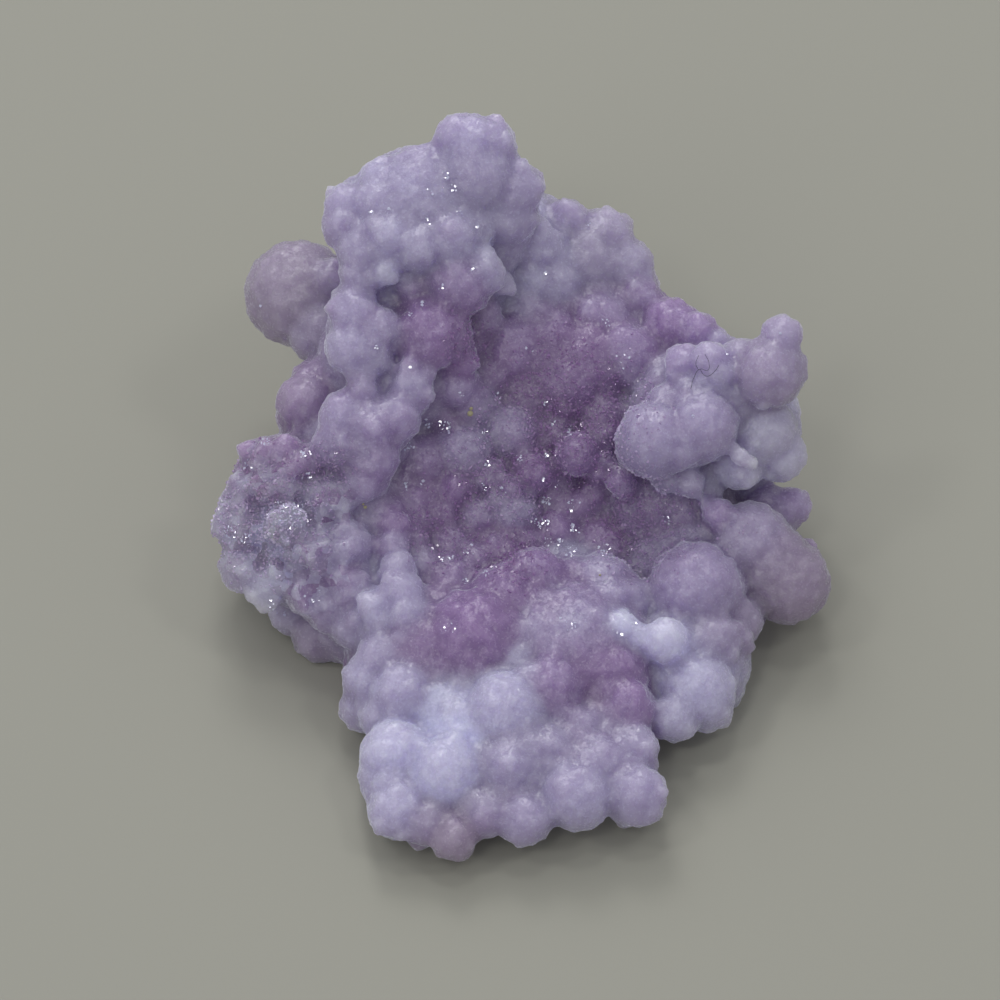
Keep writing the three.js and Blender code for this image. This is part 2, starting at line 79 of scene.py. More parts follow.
CORE = (
    (-3.0, 12.5, -6.4, 5.0), (0.5, 11.5, -8.0, 4.5), (-5.0, 7.0, -5.2, 4.6),
    (-7.5, 2.0, -4.9, 4.0), (-10.2, -1.6, -4.4, 3.4), (-5.6, -4.8, -4.2, 4.2),
    (0.0, -1.0, -7.2, 4.4), (2.0, 6.0, -9.2, 6.2), (4.5, 1.0, -9.6, 5.8), (4.0, 10.3, -9.0, 4.2),
    (6.2, 7.2, -8.6, 4.0), (9.8, 4.0, -5.0, 3.9), (12.5, 4.0, -4.8, 2.8), (9.5, -4.0, -5.7, 4.5),
    (12.2, -3.0, -4.6, 2.9), (9.2, -8.2, -1.7, 3.4), (-3.0, -8.5, -2.2, 4.9),
    (3.5, -8.5, -1.8, 4.9), (-1.5, -12.4, 1.0, 3.6), (4.0, -12.8, 1.4, 3.2),
)

# Bodies just under the face's globules, which close the gaps between them

BED = (
    (-1.6, 16.6, -3.2, 2.0), (-6.2, 14.6, -3.2, 2.2), (-0.6, 13.6, -4.2, 2.6),
    (-5.6, 11.6, -2.9, 2.2), (-3.0, 10.6, -3.4, 2.4), (-6.6, 8.4, -2.4, 2.2),
    (-3.6, 7.4, -3.2, 2.2), (-5.4, 5.4, -2.4, 2.2), (-6.6, 3.2, -2.2, 2.2), (-7.4, 0.6, -2.4, 2.2),
    (-8.9, 8.6, -5.2, 1.9), (-9.2, 4.4, -4.2, 2.2), (-12.4, -0.6, -3.0, 1.9),
    (-12.0, -2.8, -2.9, 1.9), (-9.9, -3.2, -2.6, 2.4), (-7.6, -3.4, -2.4, 2.3),
    (-7.4, -5.6, -2.2, 1.8), (-5.6, -6.4, -0.7, 2.1), (-5.6, -9.6, 0.2, 2.1),
    (-4.6, -13.4, 2.2, 2.5), (-5.2, -14.2, 3.8, 1.6), (-2.9, -14.6, 3.2, 2.1),
    (0.4, -14.2, 3.3, 2.0), (3.8, -13.6, 2.9, 2.4), (5.7, -13.4, 2.9, 2.2), (1.2, -11.6, 1.8, 2.6),
    (5.6, -10.6, 0.8, 2.4), (3.4, -4.9, -2.0, 2.2), (9.2, -8.8, -0.4, 2.4),
    (10.8, -6.2, -2.2, 2.2), (13.2, -3.2, -4.0, 2.4), (9.2, 4.2, -2.6, 2.2),
    (11.6, 5.4, -2.8, 2.1), (13.0, 3.0, -3.9, 2.0), (13.6, 7.0, -2.4, 1.3), (4.2, 12.6, -7.0, 2.3),
    (2.2, 12.0, -6.0, 2.2), (8.4, 8.2, -6.4, 1.9), (-12.2, 0.2, -2.2, 1.6), (-9.8, 0.2, -1.6, 1.5),
    (-8.5, -1.1, -1.7, 1.5), (4.2, 6.6, -5.9, 3.1), (1.6, 7.0, -5.6, 2.7), (2.2, -7.4, -0.4, 3.1),
    (1.6, -13.0, 2.8, 2.6),
)

# Small bodies that close the slits between the globules of the hollow, which the solid leaves open

SLIT_FILLERS = (
    (2.6, 1.4, -4.6, 1.7), (2.4, -0.2, -4.4, 1.4), (5.1, 3.1, -3.7, 1.2), (2.1, 3.0, -4.1, 1.1),
    (-2.3, 5.8, -2.4, 1.3),
)

SUMMIT = (
    (-2.1, 18.2, -1.6, 1.25), (-0.4, 17.9, -1.5, 1.3), (-1.2, 16.4, -2.2, 2.4),
    (0.9, 15.7, -1.9, 1.4), (0.2, 14.4, -2.6, 1.8), (-4.0, 14.9, -2.7, 3.0),
    (-3.9, 16.5, -1.7, 1.4), (-6.0, 16.1, -1.9, 1.15), (-5.9, 14.6, -1.7, 1.9),
    (-7.7, 14.8, -1.7, 1.2), (-7.8, 13.6, -1.3, 1.15), (-6.9, 12.6, -1.0, 1.4),
    (-5.6, 13.2, -0.5, 1.3), (-4.2, 12.8, -0.7, 1.5), (-2.5, 13.2, -0.9, 1.6),
    (-1.3, 13.6, -1.4, 1.2), (-1.3, 17.7, -1.7, 1.7),
)

WALL = (
    (-6.9, 11.4, -0.9, 1.25), (-5.7, 11.4, -0.2, 0.75), (-4.4, 10.6, -1.7, 1.1),
    (-2.0, 10.9, -1.2, 1.75), (-0.9, 11.4, -1.0, 1.15), (0.1, 10.9, -2.6, 0.7),
    (-7.3, 9.3, -0.7, 1.45), (-7.4, 7.6, -0.4, 1.45), (-6.2, 8.5, -0.5, 1.3),
    (-6.4, 7.1, -0.3, 1.0), (-3.4, 8.3, -1.5, 2.1), (-2.0, 7.0, -1.6, 1.0),
    (-4.4, 5.7, -0.5, 1.15), (-4.6, 6.6, -0.1, 0.6), (-6.9, 5.6, 0.0, 0.85),
    (-7.8, 4.2, -0.3, 1.35), (-5.2, 4.1, -0.2, 1.35), (-6.4, 3.6, 0.0, 1.4),
    (-8.0, 2.8, -0.5, 1.45), (-6.3, 2.2, -0.2, 1.35), (-6.8, 0.9, -0.2, 1.0),
)

LEFT_OUTLIERS = (
    (-10.25, 10.5, -6.2, 2.75), (-8.6, 11.2, -4.2, 0.8), (-8.4, 8.4, -5.4, 1.9),
    (-9.8, 4.95, -3.2, 1.5), (-9.0, 6.0, -3.8, 1.3), (-9.2, -6.8, -3.9, 1.4),
    (-10.6, -5.6, -4.3, 1.2), (-7.8, -6.4, -3.6, 1.9),
)

WING = (
    (-11.2, 1.2, -2.4, 2.15), (-12.2, 2.2, -1.8, 0.95), (-10.9, 2.3, -1.2, 1.1),
    (-12.5, 0.6, -1.4, 1.0), (-11.0, 0.6, -0.7, 1.1), (-9.7, 1.7, -1.1, 1.15),
    (-8.5, 0.2, -1.2, 1.4), (-13.0, -1.2, -1.6, 1.45), (-13.95, -1.4, -1.2, 0.65),
    (-12.8, -3.4, -1.7, 1.35), (-11.5, -4.1, -1.1, 1.2), (-10.8, -1.2, -1.2, 1.6),
    (-9.5, -4.7, -1.0, 1.25), (-8.5, -5.7, -0.9, 1.05), (-9.2, -2.6, -0.9, 1.6),
    (-7.6, -2.2, -0.8, 1.3), (-7.5, -4.4, -0.7, 1.4), (-7.3, -6.3, -0.6, 1.25),
    (-6.0, -0.8, -1.6, 1.2),
)

RIM = (
    (-5.4, -1.0, -0.9, 0.7), (-5.3, -2.2, -0.5, 0.8), (-5.1, -3.4, 0.1, 0.9),
    (-4.9, -4.6, 0.6, 1.1), (-4.7, -5.7, 0.9, 1.2), (-4.5, -6.7, 1.1, 1.05),
    (-6.0, -5.6, 0.4, 1.3), (-5.8, -7.8, 0.9, 1.4), (-6.6, -8.9, 0.9, 1.3),
    (-7.1, -9.3, 0.6, 0.85), (-6.8, -10.4, 0.3, 1.3), (-4.9, -9.6, 2.0, 1.6),
    (-5.9, -10.8, 1.8, 1.2), (-5.2, -12.6, 3.4, 1.8), (-5.8, -13.8, 3.6, 1.3),
    (-5.0, -15.3, 4.7, 1.6),
)

APRON = (
    (1.7, -3.8, -0.8, 1.5), (3.5, -4.4, -1.2, 1.2), (3.8, -7.6, 1.6, 1.2), (1.9, -6.2, 0.6, 1.2),
    (-0.9, -4.6, -0.6, 1.0), (4.3, -8.6, 2.1, 1.1), (0.9, -8.1, 2.0, 1.0), (-1.9, -9.0, 1.9, 1.1),
    (0.3, -5.2, -0.4, 2.1), (-2.6, -4.4, -1.6, 1.8), (-1.2, -7.2, 0.4, 2.9),
    (-3.2, -7.4, 1.0, 1.6), (5.3, -5.2, -0.5, 1.5), (6.4, -5.0, -0.9, 1.25), (3.5, -6.5, 1.4, 1.1),
    (5.9, -6.4, 1.2, 1.0), (6.9, -6.9, 1.4, 0.8), (2.5, -7.8, 2.2, 0.9), (2.5, -9.3, 2.7, 1.65),
    (0.3, -10.5, 3.0, 2.1), (-2.6, -10.6, 1.8, 1.9), (5.4, -8.9, 1.0, 2.2), (6.2, -10.4, 2.2, 1.6),
    (4.0, -11.5, 3.0, 1.4), (-2.7, -13.5, 4.3, 1.9), (0.4, -13.2, 4.2, 1.7),
    (2.4, -12.4, 3.9, 1.4), (4.9, -13.0, 4.1, 1.4), (6.6, -12.4, 3.2, 1.35),
    (6.7, -14.6, 4.5, 1.65), (3.8, -14.6, 4.8, 1.85), (1.2, -15.7, 5.1, 1.45),
    (-0.7, -15.4, 4.9, 1.35), (-3.6, -15.9, 5.0, 1.3), (-2.3, -16.6, 5.4, 1.25),
)

RIGHT_LOBES = (
    (9.85, -4.5, -1.3, 2.5), (11.8, -6.1, -1.6, 1.45), (10.6, -7.0, -0.2, 1.6),
    (11.7, -7.0, -0.8, 1.0), (8.2, -7.0, 1.6, 1.2), (9.8, -9.5, 0.6, 2.0), (8.7, -10.8, 1.5, 1.35),
    (10.4, -10.4, 0.5, 1.25), (14.5, -4.1, -3.0, 2.2), (13.6, -3.2, -2.9, 2.2),
    (12.6, -2.2, -2.8, 2.2), (11.0, -0.7, -2.0, 0.85), (14.8, -0.3, -5.0, 1.0),
    (13.6, -0.8, -5.2, 1.6),
)

RIGHT_CLUSTER = (
    (7.7, 3.0, -0.9, 2.0), (9.0, 2.9, -0.6, 1.5), (10.1, 3.7, -1.0, 1.9), (8.4, 4.8, -1.6, 1.1),
    (9.6, 5.4, -1.5, 1.1), (10.9, 6.3, -1.2, 1.05), (13.5, 6.4, -1.4, 1.85),
    (14.15, 8.2, -1.5, 1.15), (14.7, 6.9, -1.6, 0.85), (12.0, 7.2, -2.0, 1.0),
    (10.5, 7.1, -1.0, 0.95), (9.1, 6.9, -1.7, 0.95), (8.4, 1.1, -1.6, 0.85),
    (9.5, 0.9, -1.6, 0.75), (6.1, 0.8, -2.3, 0.75), (12.0, 1.7, -2.4, 1.25),
    (13.2, 3.4, -3.0, 1.9), (14.1, 2.3, -3.4, 1.4), (12.0, 2.2, -0.6, 0.5), (12.6, 1.8, -0.5, 0.4),
)

HOLLOW = (
    (3.9, 2.3, -2.8, 1.15), (5.1, 1.8, -3.2, 1.0), (4.8, 0.5, -3.6, 0.7), (0.6, -0.6, -2.9, 1.25),
    (0.6, 0.4, -2.5, 0.65), (-1.1, -0.8, -2.8, 1.1), (-3.3, -0.8, -3.1, 1.6),
    (-4.0, 1.9, -3.2, 1.7), (-2.0, 2.4, -3.4, 1.8), (0.6, 3.4, -3.8, 1.55), (-1.6, 5.0, -3.6, 1.6),
    (-0.9, 9.3, -3.3, 1.05), (0.6, 7.6, -4.5, 1.9), (2.3, 8.5, -5.0, 1.8), (3.4, 5.8, -4.3, 1.9),
    (5.0, 9.0, -5.6, 1.8), (6.3, 7.2, -4.8, 1.9), (5.2, 4.2, -4.2, 1.4), (7.6, 5.6, -4.6, 1.2),
    (2.8, -1.6, -3.6, 1.2), (-3.8, 0.4, -2.6, 1.0), (-4.7, -1.7, -1.7, 1.0),
    (-2.5, -2.3, -2.4, 1.2), (0.1, -2.7, -2.3, 1.1), (-1.2, -3.0, -1.9, 1.0),
    (-3.9, -3.2, -1.3, 1.0), (8.6, -1.4, -4.1, 1.0), (7.9, -2.9, -3.6, 1.05),
    (9.6, -0.5, -3.3, 0.95), (10.5, 0.4, -3.0, 0.85), (1.6, 1.4, -3.3, 1.2), (2.9, 3.6, -3.9, 1.0),
    (-0.6, 1.2, -2.9, 1.0), (-2.2, 0.6, -2.5, 1.0), (-2.6, 3.9, -3.0, 0.9), (-0.4, 6.4, -3.6, 1.0),
    (-1.3, 7.9, -3.2, 0.9), (1.9, 5.4, -4.2, 1.1), (1.4, 9.6, -4.4, 1.1), (3.8, 9.9, -5.4, 1.1),
    (4.8, 7.3, -4.7, 1.0), (7.0, 9.1, -6.0, 1.1), (6.6, 4.4, -4.2, 0.9), (1.4, -2.3, -2.8, 1.0),
    (4.0, -0.3, -4.0, 1.0), (6.4, -0.4, -4.6, 0.9), (5.2, -2.0, -4.0, 1.3), (7.2, -1.4, -4.6, 1.4),
)

BACK_RIM = (
    (3.3, 14.0, -6.2, 1.35), (5.4, 13.6, -6.4, 1.35), (4.4, 12.3, -6.2, 1.8),
    (1.5, 12.9, -4.6, 1.6), (2.8, 11.1, -4.9, 1.3), (1.6, 11.3, -4.4, 1.15),
    (6.3, 11.9, -6.6, 1.6), (6.8, 10.3, -6.4, 1.5), (8.7, 8.8, -5.2, 1.5), (9.9, 8.5, -4.4, 1.15),
    (10.9, 7.6, -4.4, 1.1),
)

# The foot is (across, back, up, radius) in the specimen's own frame: the bulk that carries the face

FOOT = (
    (3.2, -1.6, 1.0, 4.4), (-2.0, 9.6, 4.6, 5.2), (3.6, 8.6, 4.2, 5.0), (-5.2, 2.8, 3.8, 4.2),
    (8.4, 3.6, 3.6, 4.0), (0.0, 0.6, 1.4, 4.6),
)

# The back and the underside: least and most radius, and how the globules crowd there

BACK_RADII = (1.1, 2.0)
BACK_TRIES = 90
BACK_SPACING = 0.66
BACK_SINK = 0.3
FACE_LIMIT = 0.1
SEATING = 0.35
OUTLINE_STEPS = 10
OUTLINE_SLACK = 0.1
GOLDEN_ANGLE = math.pi * (3 - math.sqrt(5))
SEED = 20
BACK_SMALLNESS = 1.5  # above 1 for more small globules than large ones
BACK_DEPTH = 0.3  # how deep in another mass a globule may lie, as a share of its radius

# How deep a bud sits, as a share of its radius, and how far it may turn from the eye

BUD_SINK = 0.45
BUD_LIMIT = -0.5
SMOOTH_RADIUS = 1.9  # larger globules carry no buds
SMALL_BALL, LARGE_BALL = 0.5, 2.6  # radii at which a ball's mesh gets finer
LUMP_SIZE, CRUST_SIZE = 0.9, 0.55

# How pale the stone is round a place: (across, up, reach, paleness), 0 for mauve and 1 or more for white.
# Some spots are painted highlights of glare, marked below.

TONES_AND_GLARE = (
    (3.0, 2.0, 3.0, 0.1), (7.5, -1.5, 1.8, 0.0), (3.0, 6.5, 2.6, 0.12), (1.0, 5.0, 1.0, 0.42),
    (0.3, 3.3, 1.4, 0.36), (5.0, 9.0, 2.0, 0.2), (0.2, -0.6, 1.2, 0.45), (-3.4, 8.2, 1.5, 0.08),
    (-2.4, 10.7, 1.1, 0.2), (-4.2, 10.3, 0.8, 0.15), (-3.5, 14.8, 2.5, 0.5), (-1.6, 17.6, 1.8, 0.48),
    (-6.8, 15.6, 1.3, 0.75), (-4.8, 12.6, 1.5, 0.65), (-1.2, 11.5, 0.8, 0.7), (-7.3, 8.5, 1.6, 0.4),
    (-5.2, 5.0, 1.5, 0.4), (-7.2, 3.2, 1.8, 0.3), (-10.3, 10.5, 3.0, 0.4), (-9.8, 5.0, 1.5, 0.12),
    # partly painted highlight: the wing's pale patch at (-10.8, -1.3) is partly a crystal face that catches
    # the light
    (-11.2, 2.2, 1.6, 0.17), (-12.8, -0.8, 1.6, 0.62), (-10.8, -1.3, 1.2, 0.95),
    (-12.0, -3.8, 1.5, 0.8), (-8.8, -3.5, 1.8, 0.38), (-4.9, -5.2, 1.3, 0.72), (-5.6, -9.6, 1.6, 0.58),
    # partly painted glare: the white front band at (-2.5, -13.5), (-0.8, -9.8), (-1.2, -12.2) and (-3.8,
    # -11.6) is partly the stone's pale colour, partly glare
    (-5.2, -13.5, 2.0, 0.7), (-2.5, -13.5, 2.0, 0.82), (-0.8, -9.8, 1.5, 0.72), (1.5, -8.0, 0.9, 0.7),
    (2.4, -14.4, 2.0, 0.47), (-2.0, -16.8, 1.6, 0.1), (5.8, -13.8, 2.2, 0.42), (-1.2, -5.4, 2.4, 0.04),
    (2.9, -5.0, 2.2, 0.16), (5.2, -9.2, 2.0, 0.06), (3.2, -7.4, 1.4, 0.36), (-2.6, -6.9, 1.8, 0.08),
    (-3.2, -4.0, 1.6, 0.3), (-1.2, -12.2, 1.0, 1.0), (3.4, -11.4, 1.3, 0.35), (-3.8, -11.6, 1.3, 0.9),
    (5.4, -5.6, 1.2, 0.4), (8.2, -7.1, 1.0, 0.8), (9.8, -4.6, 2.0, 0.38), (9.8, -9.8, 1.8, 0.68),
    (13.8, -3.6, 2.6, 0.27), (8.2, 3.2, 2.0, 0.35), (11.0, 6.6, 1.5, 0.55), (13.6, 6.6, 1.8, 0.42),
    (13.4, 3.0, 1.8, 0.85), (12.3, 2.0, 0.6, 0.5), (5.2, 13.0, 2.4, 0.57), (1.9, 11.4, 1.3, 0.6),
    (8.8, 9.0, 1.6, 0.14), (9.0, 0.9, 1.0, 0.5), (-3.4, -0.4, 1.6, 0.1), (-4.2, 1.6, 1.0, 0.16),
    (-2.4, -2.6, 1.6, 0.12), (3.9, 2.3, 0.9, 0.32), (-2.4, 5.6, 0.9, 0.35), (-2.0, 4.2, 0.8, 0.12),
    (-1.0, 7.9, 0.8, 0.14), (-0.9, 9.3, 0.8, 0.2), (-4.6, -1.7, 0.8, 0.2), (-3.8, -3.2, 0.8, 0.25),
    # painted highlights: the two spots at (3.5, -6.2) and (6.1, -6.3) are glare on the apron
    (3.5, -6.2, 0.8, 1.5), (6.1, -6.3, 0.8, 1.3),
)
PLAIN_TONE = 0.42  # where no such place is near, as on the back
PLAIN_WEIGHT = 0.02  # of the plain tone, beside the weights of the tones above
TONE_SPREAD = 0.05  # how much one globule's tone differs from the next
TONE_BLEND = 0.16  # how far tones run into each other between globules
SPOT_WIDTH = 0.6  # how wide a spot is spread, as a share of its reach
POINTS_AT_ONCE = 4000  # which keeps the arrays small
RIM_HIGHLIGHT = 0.3  # painted highlight: how much paler a globule's edge is where it turns side-on to the face, where it stands over deeper stone
RIM_RISE, RIM_FALL = (-0.06, 0.04), (0.12, 0.42)  # how far out the skin looks where the painted edge highlight begins and ends
RIM_DEPTH, RIM_FADE = -5, 3  # the painted edge highlights fade in from this depth, over this distance

# How clear and grey the stone is round a place: (across, up, out, reach, clearness)

CLEAR_SPOTS = (
    (-10.3, 10.5, -6.2, 3.4, 1.0), (-9.8, 5.0, -3.2, 1.8, 0.6), (14.5, -4.1, -3.0, 2.8, 1.0),
    (13.2, 3.2, -3.2, 2.4, 0.6), (5.2, 13.2, -6.4, 3.0, 0.5), (13.4, 7.0, -1.4, 2.2, 0.5),
    (-2.2, -16.8, 5.2, 1.8, 1.0), (-9.2, -6.8, -3.9, 2.0, 0.6), (11.5, -6.6, -1.2, 2.0, 0.5),
    (-12.0, -2.5, -1.5, 3.0, 0.5), (-11.2, 1.5, -2.0, 2.4, 0.5),
)

# Where crystals stand thickest: (across, up, reach, thickness)

DRUSE_SPOTS = (
    (3.5, 4.0, 4.5, 0.7), (7.0, -1.0, 2.8, 0.8), (0.0, 1.0, 3.6, 0.6), (0.5, -2.4, 2.4, 0.5),
    (-1.5, 8.0, 2.0, 0.4), (-11.5, -1.0, 3.4, 0.8), (-3.4, 15.0, 2.6, 0.12),
    (-8.8, 1.5, 2.0, 0.5), (-2.6, -1.5, 2.4, 0.5), (12.0, -1.6, 2.0, 0.2),
)
DRUSE_CONTRAST, DRUSE_CUT = 1.3, 0.12  # how steeply the druse thins out, and where it ends
DRUSE_DEPTH, DRUSE_FOOT = -9, 0.4  # none stand behind this depth or under this height
DRUSE_LEAN = 0.6
CRYSTAL_SIDES = 3
CRYSTAL_HEIGHT, CRYSTAL_TIP = 0.6, 0.4  # as shares of the width
CRYSTAL_LEAN = (0.12, 0.06)
CRYSTAL_RISE = 0.05  # of its middle over the skin, as a share of the height
LEAST_CRYSTAL, MOST_CRYSTAL = 0.55, 1.9  # as shares of the crystal's width

# Blocky crystals on the left wing: (across, up, width)

BLOCKS = (
    (-10.8, -1.2, 2.2), (-12.6, -1.7, 1.3), (-11.9, 0.6, 1.2), (-13.0, -0.4, 1.2), (-10.4, 1.5, 1.4),
    (-11.8, 2.4, 1.1), (-9.3, -2.6, 1.5), (-11.3, -3.5, 1.3), (-12.9, -3.3, 1.2), (-9.9, -4.6, 1.3),
    (-8.2, -3.7, 1.3), (-9.0, -0.2, 1.2), (-8.3, -5.3, 1.2), (-11.6, -5.2, 1.0),
)

# Where smaller ones lie: (across, up, reach, number)

BLOCK_FIELDS = ((-11.6, 1.2, 1.9, 30), (-12.0, -2.4, 2.0, 40), (-9.6, -3.4, 2.1, 40), (-8.4, -0.8, 1.5, 14))
LEAST_BLOCK, MOST_BLOCK = 0.35, 0.95
BLOCK_SPREAD = 0.55  # of the blocks round a place, as a share of the reach
BLOCK_EDGE = 0.95  # how near a globule's edge a block may stand, as a share of the radius
BLOCK_SINK = 0.22  # as a share of the width
BLOCKY_CONTRAST = 1.6  # how soon the blocky look fades round those places

DRUSE_GLOSS, GLINT_GLOSS = 1.65, 2.1  # indices of refraction that stand in for dull and for clear faces
CRYSTAL_TINT = (1.15, 1.05, 1.1)
GLASS_GLOSS = 1.2  # the same for the light that goes straight through

# Where the small lights hang that the crystals glint in, in metres

SPARKS = ((-0.25, -0.05, 0.42), (0.22, -0.08, 0.42), (0.0, 0.1, 0.45), (-0.1, -0.25, 0.42))
SPARK_WIDTH = 0.07
SENSOR_WIDTH = 36  # of the camera, in millimetres

# Crystals that are turned so that they glint in those lights: (across, up, reach, number)

GLINTS = (
    (-3.65, 3.85, 0.25, 4), (-2.8, 3.65, 0.3, 9), (-0.85, 3.2, 0.25, 4), (-4.6, 2.6, 0.3, 4),
    (0.95, 2.1, 0.15, 4), (-0.65, 1.85, 0.2, 3), (3.65, 3.5, 0.25, 4), (2.3, 2.25, 0.1, 2),
    (2.2, 1.0, 0.1, 2), (2.35, -0.05, 0.2, 8), (3.75, -0.3, 0.3, 5), (1.7, -1.05, 0.15, 3),
    (2.2, -1.3, 0.3, 9), (3.75, -1.45, 0.25, 8), (2.35, -2.15, 0.25, 5), (5.25, -2.5, 0.3, 7),
    (3.6, -2.6, 0.3, 6), (-1.55, -2.5, 0.3, 4), (-2.5, -2.9, 0.15, 4), (-2.95, -3.0, 0.15, 2),
    (-4.65, 0.7, 0.2, 3), (-3.95, 0.85, 0.15, 2), (-0.8, 0.65, 0.2, 3), (0.15, 0.45, 0.2, 3),
    (2.85, 0.65, 0.1, 2), (-1.95, 5.3, 0.15, 2), (-0.15, 5.25, 0.15, 2), (2.35, 4.85, 0.15, 2),
    (2.7, 3.9, 0.15, 2), (1.5, 7.45, 0.2, 2), (5.4, 8.9, 0.25, 3), (6.2, 7.0, 0.4, 3),
    (-2.75, 16.3, 0.2, 4), (-2.35, 15.6, 0.2, 5), (-3.5, 15.45, 0.2, 2), (-5.55, 14.45, 0.15, 2),
    (-6.45, 14.45, 0.15, 2), (-3.7, 13.95, 0.2, 2), (-2.05, 14.35, 0.15, 2), (-1.15, 13.65, 0.1, 2),
    (-1.35, 11.55, 0.1, 2), (-2.95, 10.65, 0.1, 2), (-3.8, 9.8, 0.1, 2), (-4.5, 9.3, 0.1, 2),
    (-6.15, 7.65, 0.1, 2), (-12.05, 9.85, 0.05, 1), (-4.4, 6.65, 0.1, 2), (-11.75, 2.9, 0.2, 4),
    (-9.7, 2.35, 0.25, 6), (-12.6, 1.8, 0.25, 4), (-9.7, 1.1, 0.3, 5), (-10.4, -0.8, 0.7, 26),
    (-13.5, -1.6, 0.3, 8), (-12.65, -2.0, 0.3, 5), (-9.4, -4.8, 0.5, 5), (-11.2, -5.4, 0.4, 5),
    (4.5, 14.0, 0.1, 1), (2.3, 11.45, 0.1, 2), (13.95, 8.35, 0.1, 2), (11.4, 7.35, 0.15, 2),
    (9.6, 4.1, 0.15, 2), (3.1, -2.1, 0.2, 4), (-0.75, -3.65, 0.2, 3), (-1.8, -4.15, 0.2, 3),
    (-2.5, -6.3, 0.3, 3), (3.5, -6.1, 0.5, 5), (6.2, -6.25, 0.6, 6), (8.4, -1.0, 0.3, 3),
)
LEAST_GLINT, MOST_GLINT = 0.05, 0.19
LEAST_BREADTH = 0.3  # as a share of the width
GLINT_LEAN = 0.17  # how far a crystal may lean out of the mirroring way
GLINT_HEIGHT = 0.5  # as a share of the width
GLINT_SIDES = 5
GLINT_SHARDS = 2  # crystals for each one that is counted above

# The dust on the face: a fibre's strands as points (across, up), and specks (across, up, radius)

FIBRE = (
    ((9.55, 5.55), (9.7, 6.1), (10.0, 6.55), (10.4, 6.5), (10.45, 6.85), (10.25, 7.3)),
    ((10.0, 6.55), (10.3, 6.2), (10.75, 6.45), (10.95, 6.75)),
    ((9.95, 6.5), (9.8, 6.8), (9.95, 7.25)),
)
FIBRE_RADIUS, FIBRE_LIFT = 0.013, 0.08
FIBRE_COLOUR = (0.07, 0.065, 0.08)
SPECKS = (
    (-1.5, 4.35, 0.16), (-6.75, -0.35, 0.1), (-6.85, -0.2, 0.07), (5.0, -3.75, 0.07), (-1.45, 4.6, 0.1),
)
SPECK_COLOUR = (0.38, 0.35, 0.22)
EYE_OUT = 30.0  # further out from the face than anything on it

# Broad masses whose lumps have nearly grown together: (across, up, reach, share)

SOFT_SPOTS = (
    (-3.8, 15.4, 3.2, 0.55), (-2.2, 11.4, 1.4, 0.2), (3.4, 7.2, 3.4, 0.6), (0.5, -5.5, 3.6, 0.8),
    (-1.5, -10.5, 4.0, 0.9), (3.5, -11.0, 4.0, 0.7), (-7.2, 7.5, 2.4, 0.45), (-6.5, 2.8, 2.6, 0.4),
    (6.0, 12.0, 3.6, 0.5), (-5.2, -10.5, 2.4, 0.6),
)
SOFT_DEPTH = -8  # what lies deeper keeps its lumps
SOFT_STEPS = 12


def from_face(across, up, out):
    """A point of the face's frame, in the specimen's frame"""
    return Vector((across, 0, FACE_HEIGHT)) + UP * up + OUT * out


def on_face(places):
    """The face coordinates, across and up and out, of an array of points in millimetres"""
    lifted = places - np.array((0, 0, FACE_HEIGHT))
    return lifted @ np.array(((1, 0, 0), tuple(UP), tuple(OUT))).T


def face_globules(rows):
    """Centres and radii of globules that are laid out on the face"""
    return [(from_face(across, up, out), radius) for across, up, out, radius in rows]


def random_source(seed):
    """Repeatable numbers from 0 to 1"""
    state = seed
    while True:
        state = (state * 16807) % 2147483647
        yield state / 2147483647


def is_behind_face(centre, radius, shown):
    """Whether a globule, seen square on, lies behind what the face already shows"""
    for step in range(OUTLINE_STEPS):
        turn = 2 * math.pi * step / OUTLINE_STEPS
        edge = centre + UP * (radius * math.sin(turn))
        edge.x += radius * math.cos(turn)
        covered = False
        for other, reach in shown:
            away = edge - other
            away -= OUT * away.dot(OUT)
            if away.length < reach + OUTLINE_SLACK:
                covered = True
                break
        if not covered:
            return False
    return True


def back_globules(masses, shown):
    """Globules over the sides, the back and the underside, thinned where they crowd"""
    numbers = random_source(SEED)
    least, most = BACK_RADII
    grown = []
    for mass in masses:
        middle, reach = mass
        for i in range(BACK_TRIES):
            height = 1 - 2 * (i + 0.5) / BACK_TRIES
            turn = i * GOLDEN_ANGLE + next(numbers)
            ring = math.sqrt(1 - height * height)
            direction = Vector((ring * math.cos(turn), ring * math.sin(turn), height))
            radius = least + (most - least) * next(numbers) ** BACK_SMALLNESS
            centre = middle + direction * (reach - radius * BACK_SINK)
            if direction.dot(OUT) > FACE_LIMIT or centre.z - radius < SEATING:
                continue
            if any(m is not mass and (m[0] - centre).length < m[1] - radius * BACK_DEPTH for m in masses):
                continue
            if any((c - centre).length < BACK_SPACING * (r + radius) for c, r in grown):
                continue
            if is_behind_face(centre, radius, shown):
                grown.append((centre, radius))
    return grown


def buds(globules, count, least, most):
    """Small globules that sprout on the larger ones, on the side that faces out and up"""
    dice = random.Random(SEED)
    sprouts = []
    for centre, radius in globules:
        if radius > SMOOTH_RADIUS:
            continue
        for _ in range(round(count * radius)):
            direction = Vector([dice.gauss(0, 1) for _ in range(3)]).normalized()
            size = dice.uniform(least, most)
            if direction.dot(OUT) < BUD_LIMIT:
                continue
            place = centre + direction * (radius - size * BUD_SINK)
            if place.z - size > SEATING:
                sprouts.append((place, size))
    return sprouts


MASSES = face_globules(CORE) + [(Vector(row[:3]), row[3]) for row in FOOT]
SEEN = face_globules(
    SUMMIT + WALL + LEFT_OUTLIERS + WING + RIM + APRON + RIGHT_LOBES + RIGHT_CLUSTER + HOLLOW + BACK_RIM
)


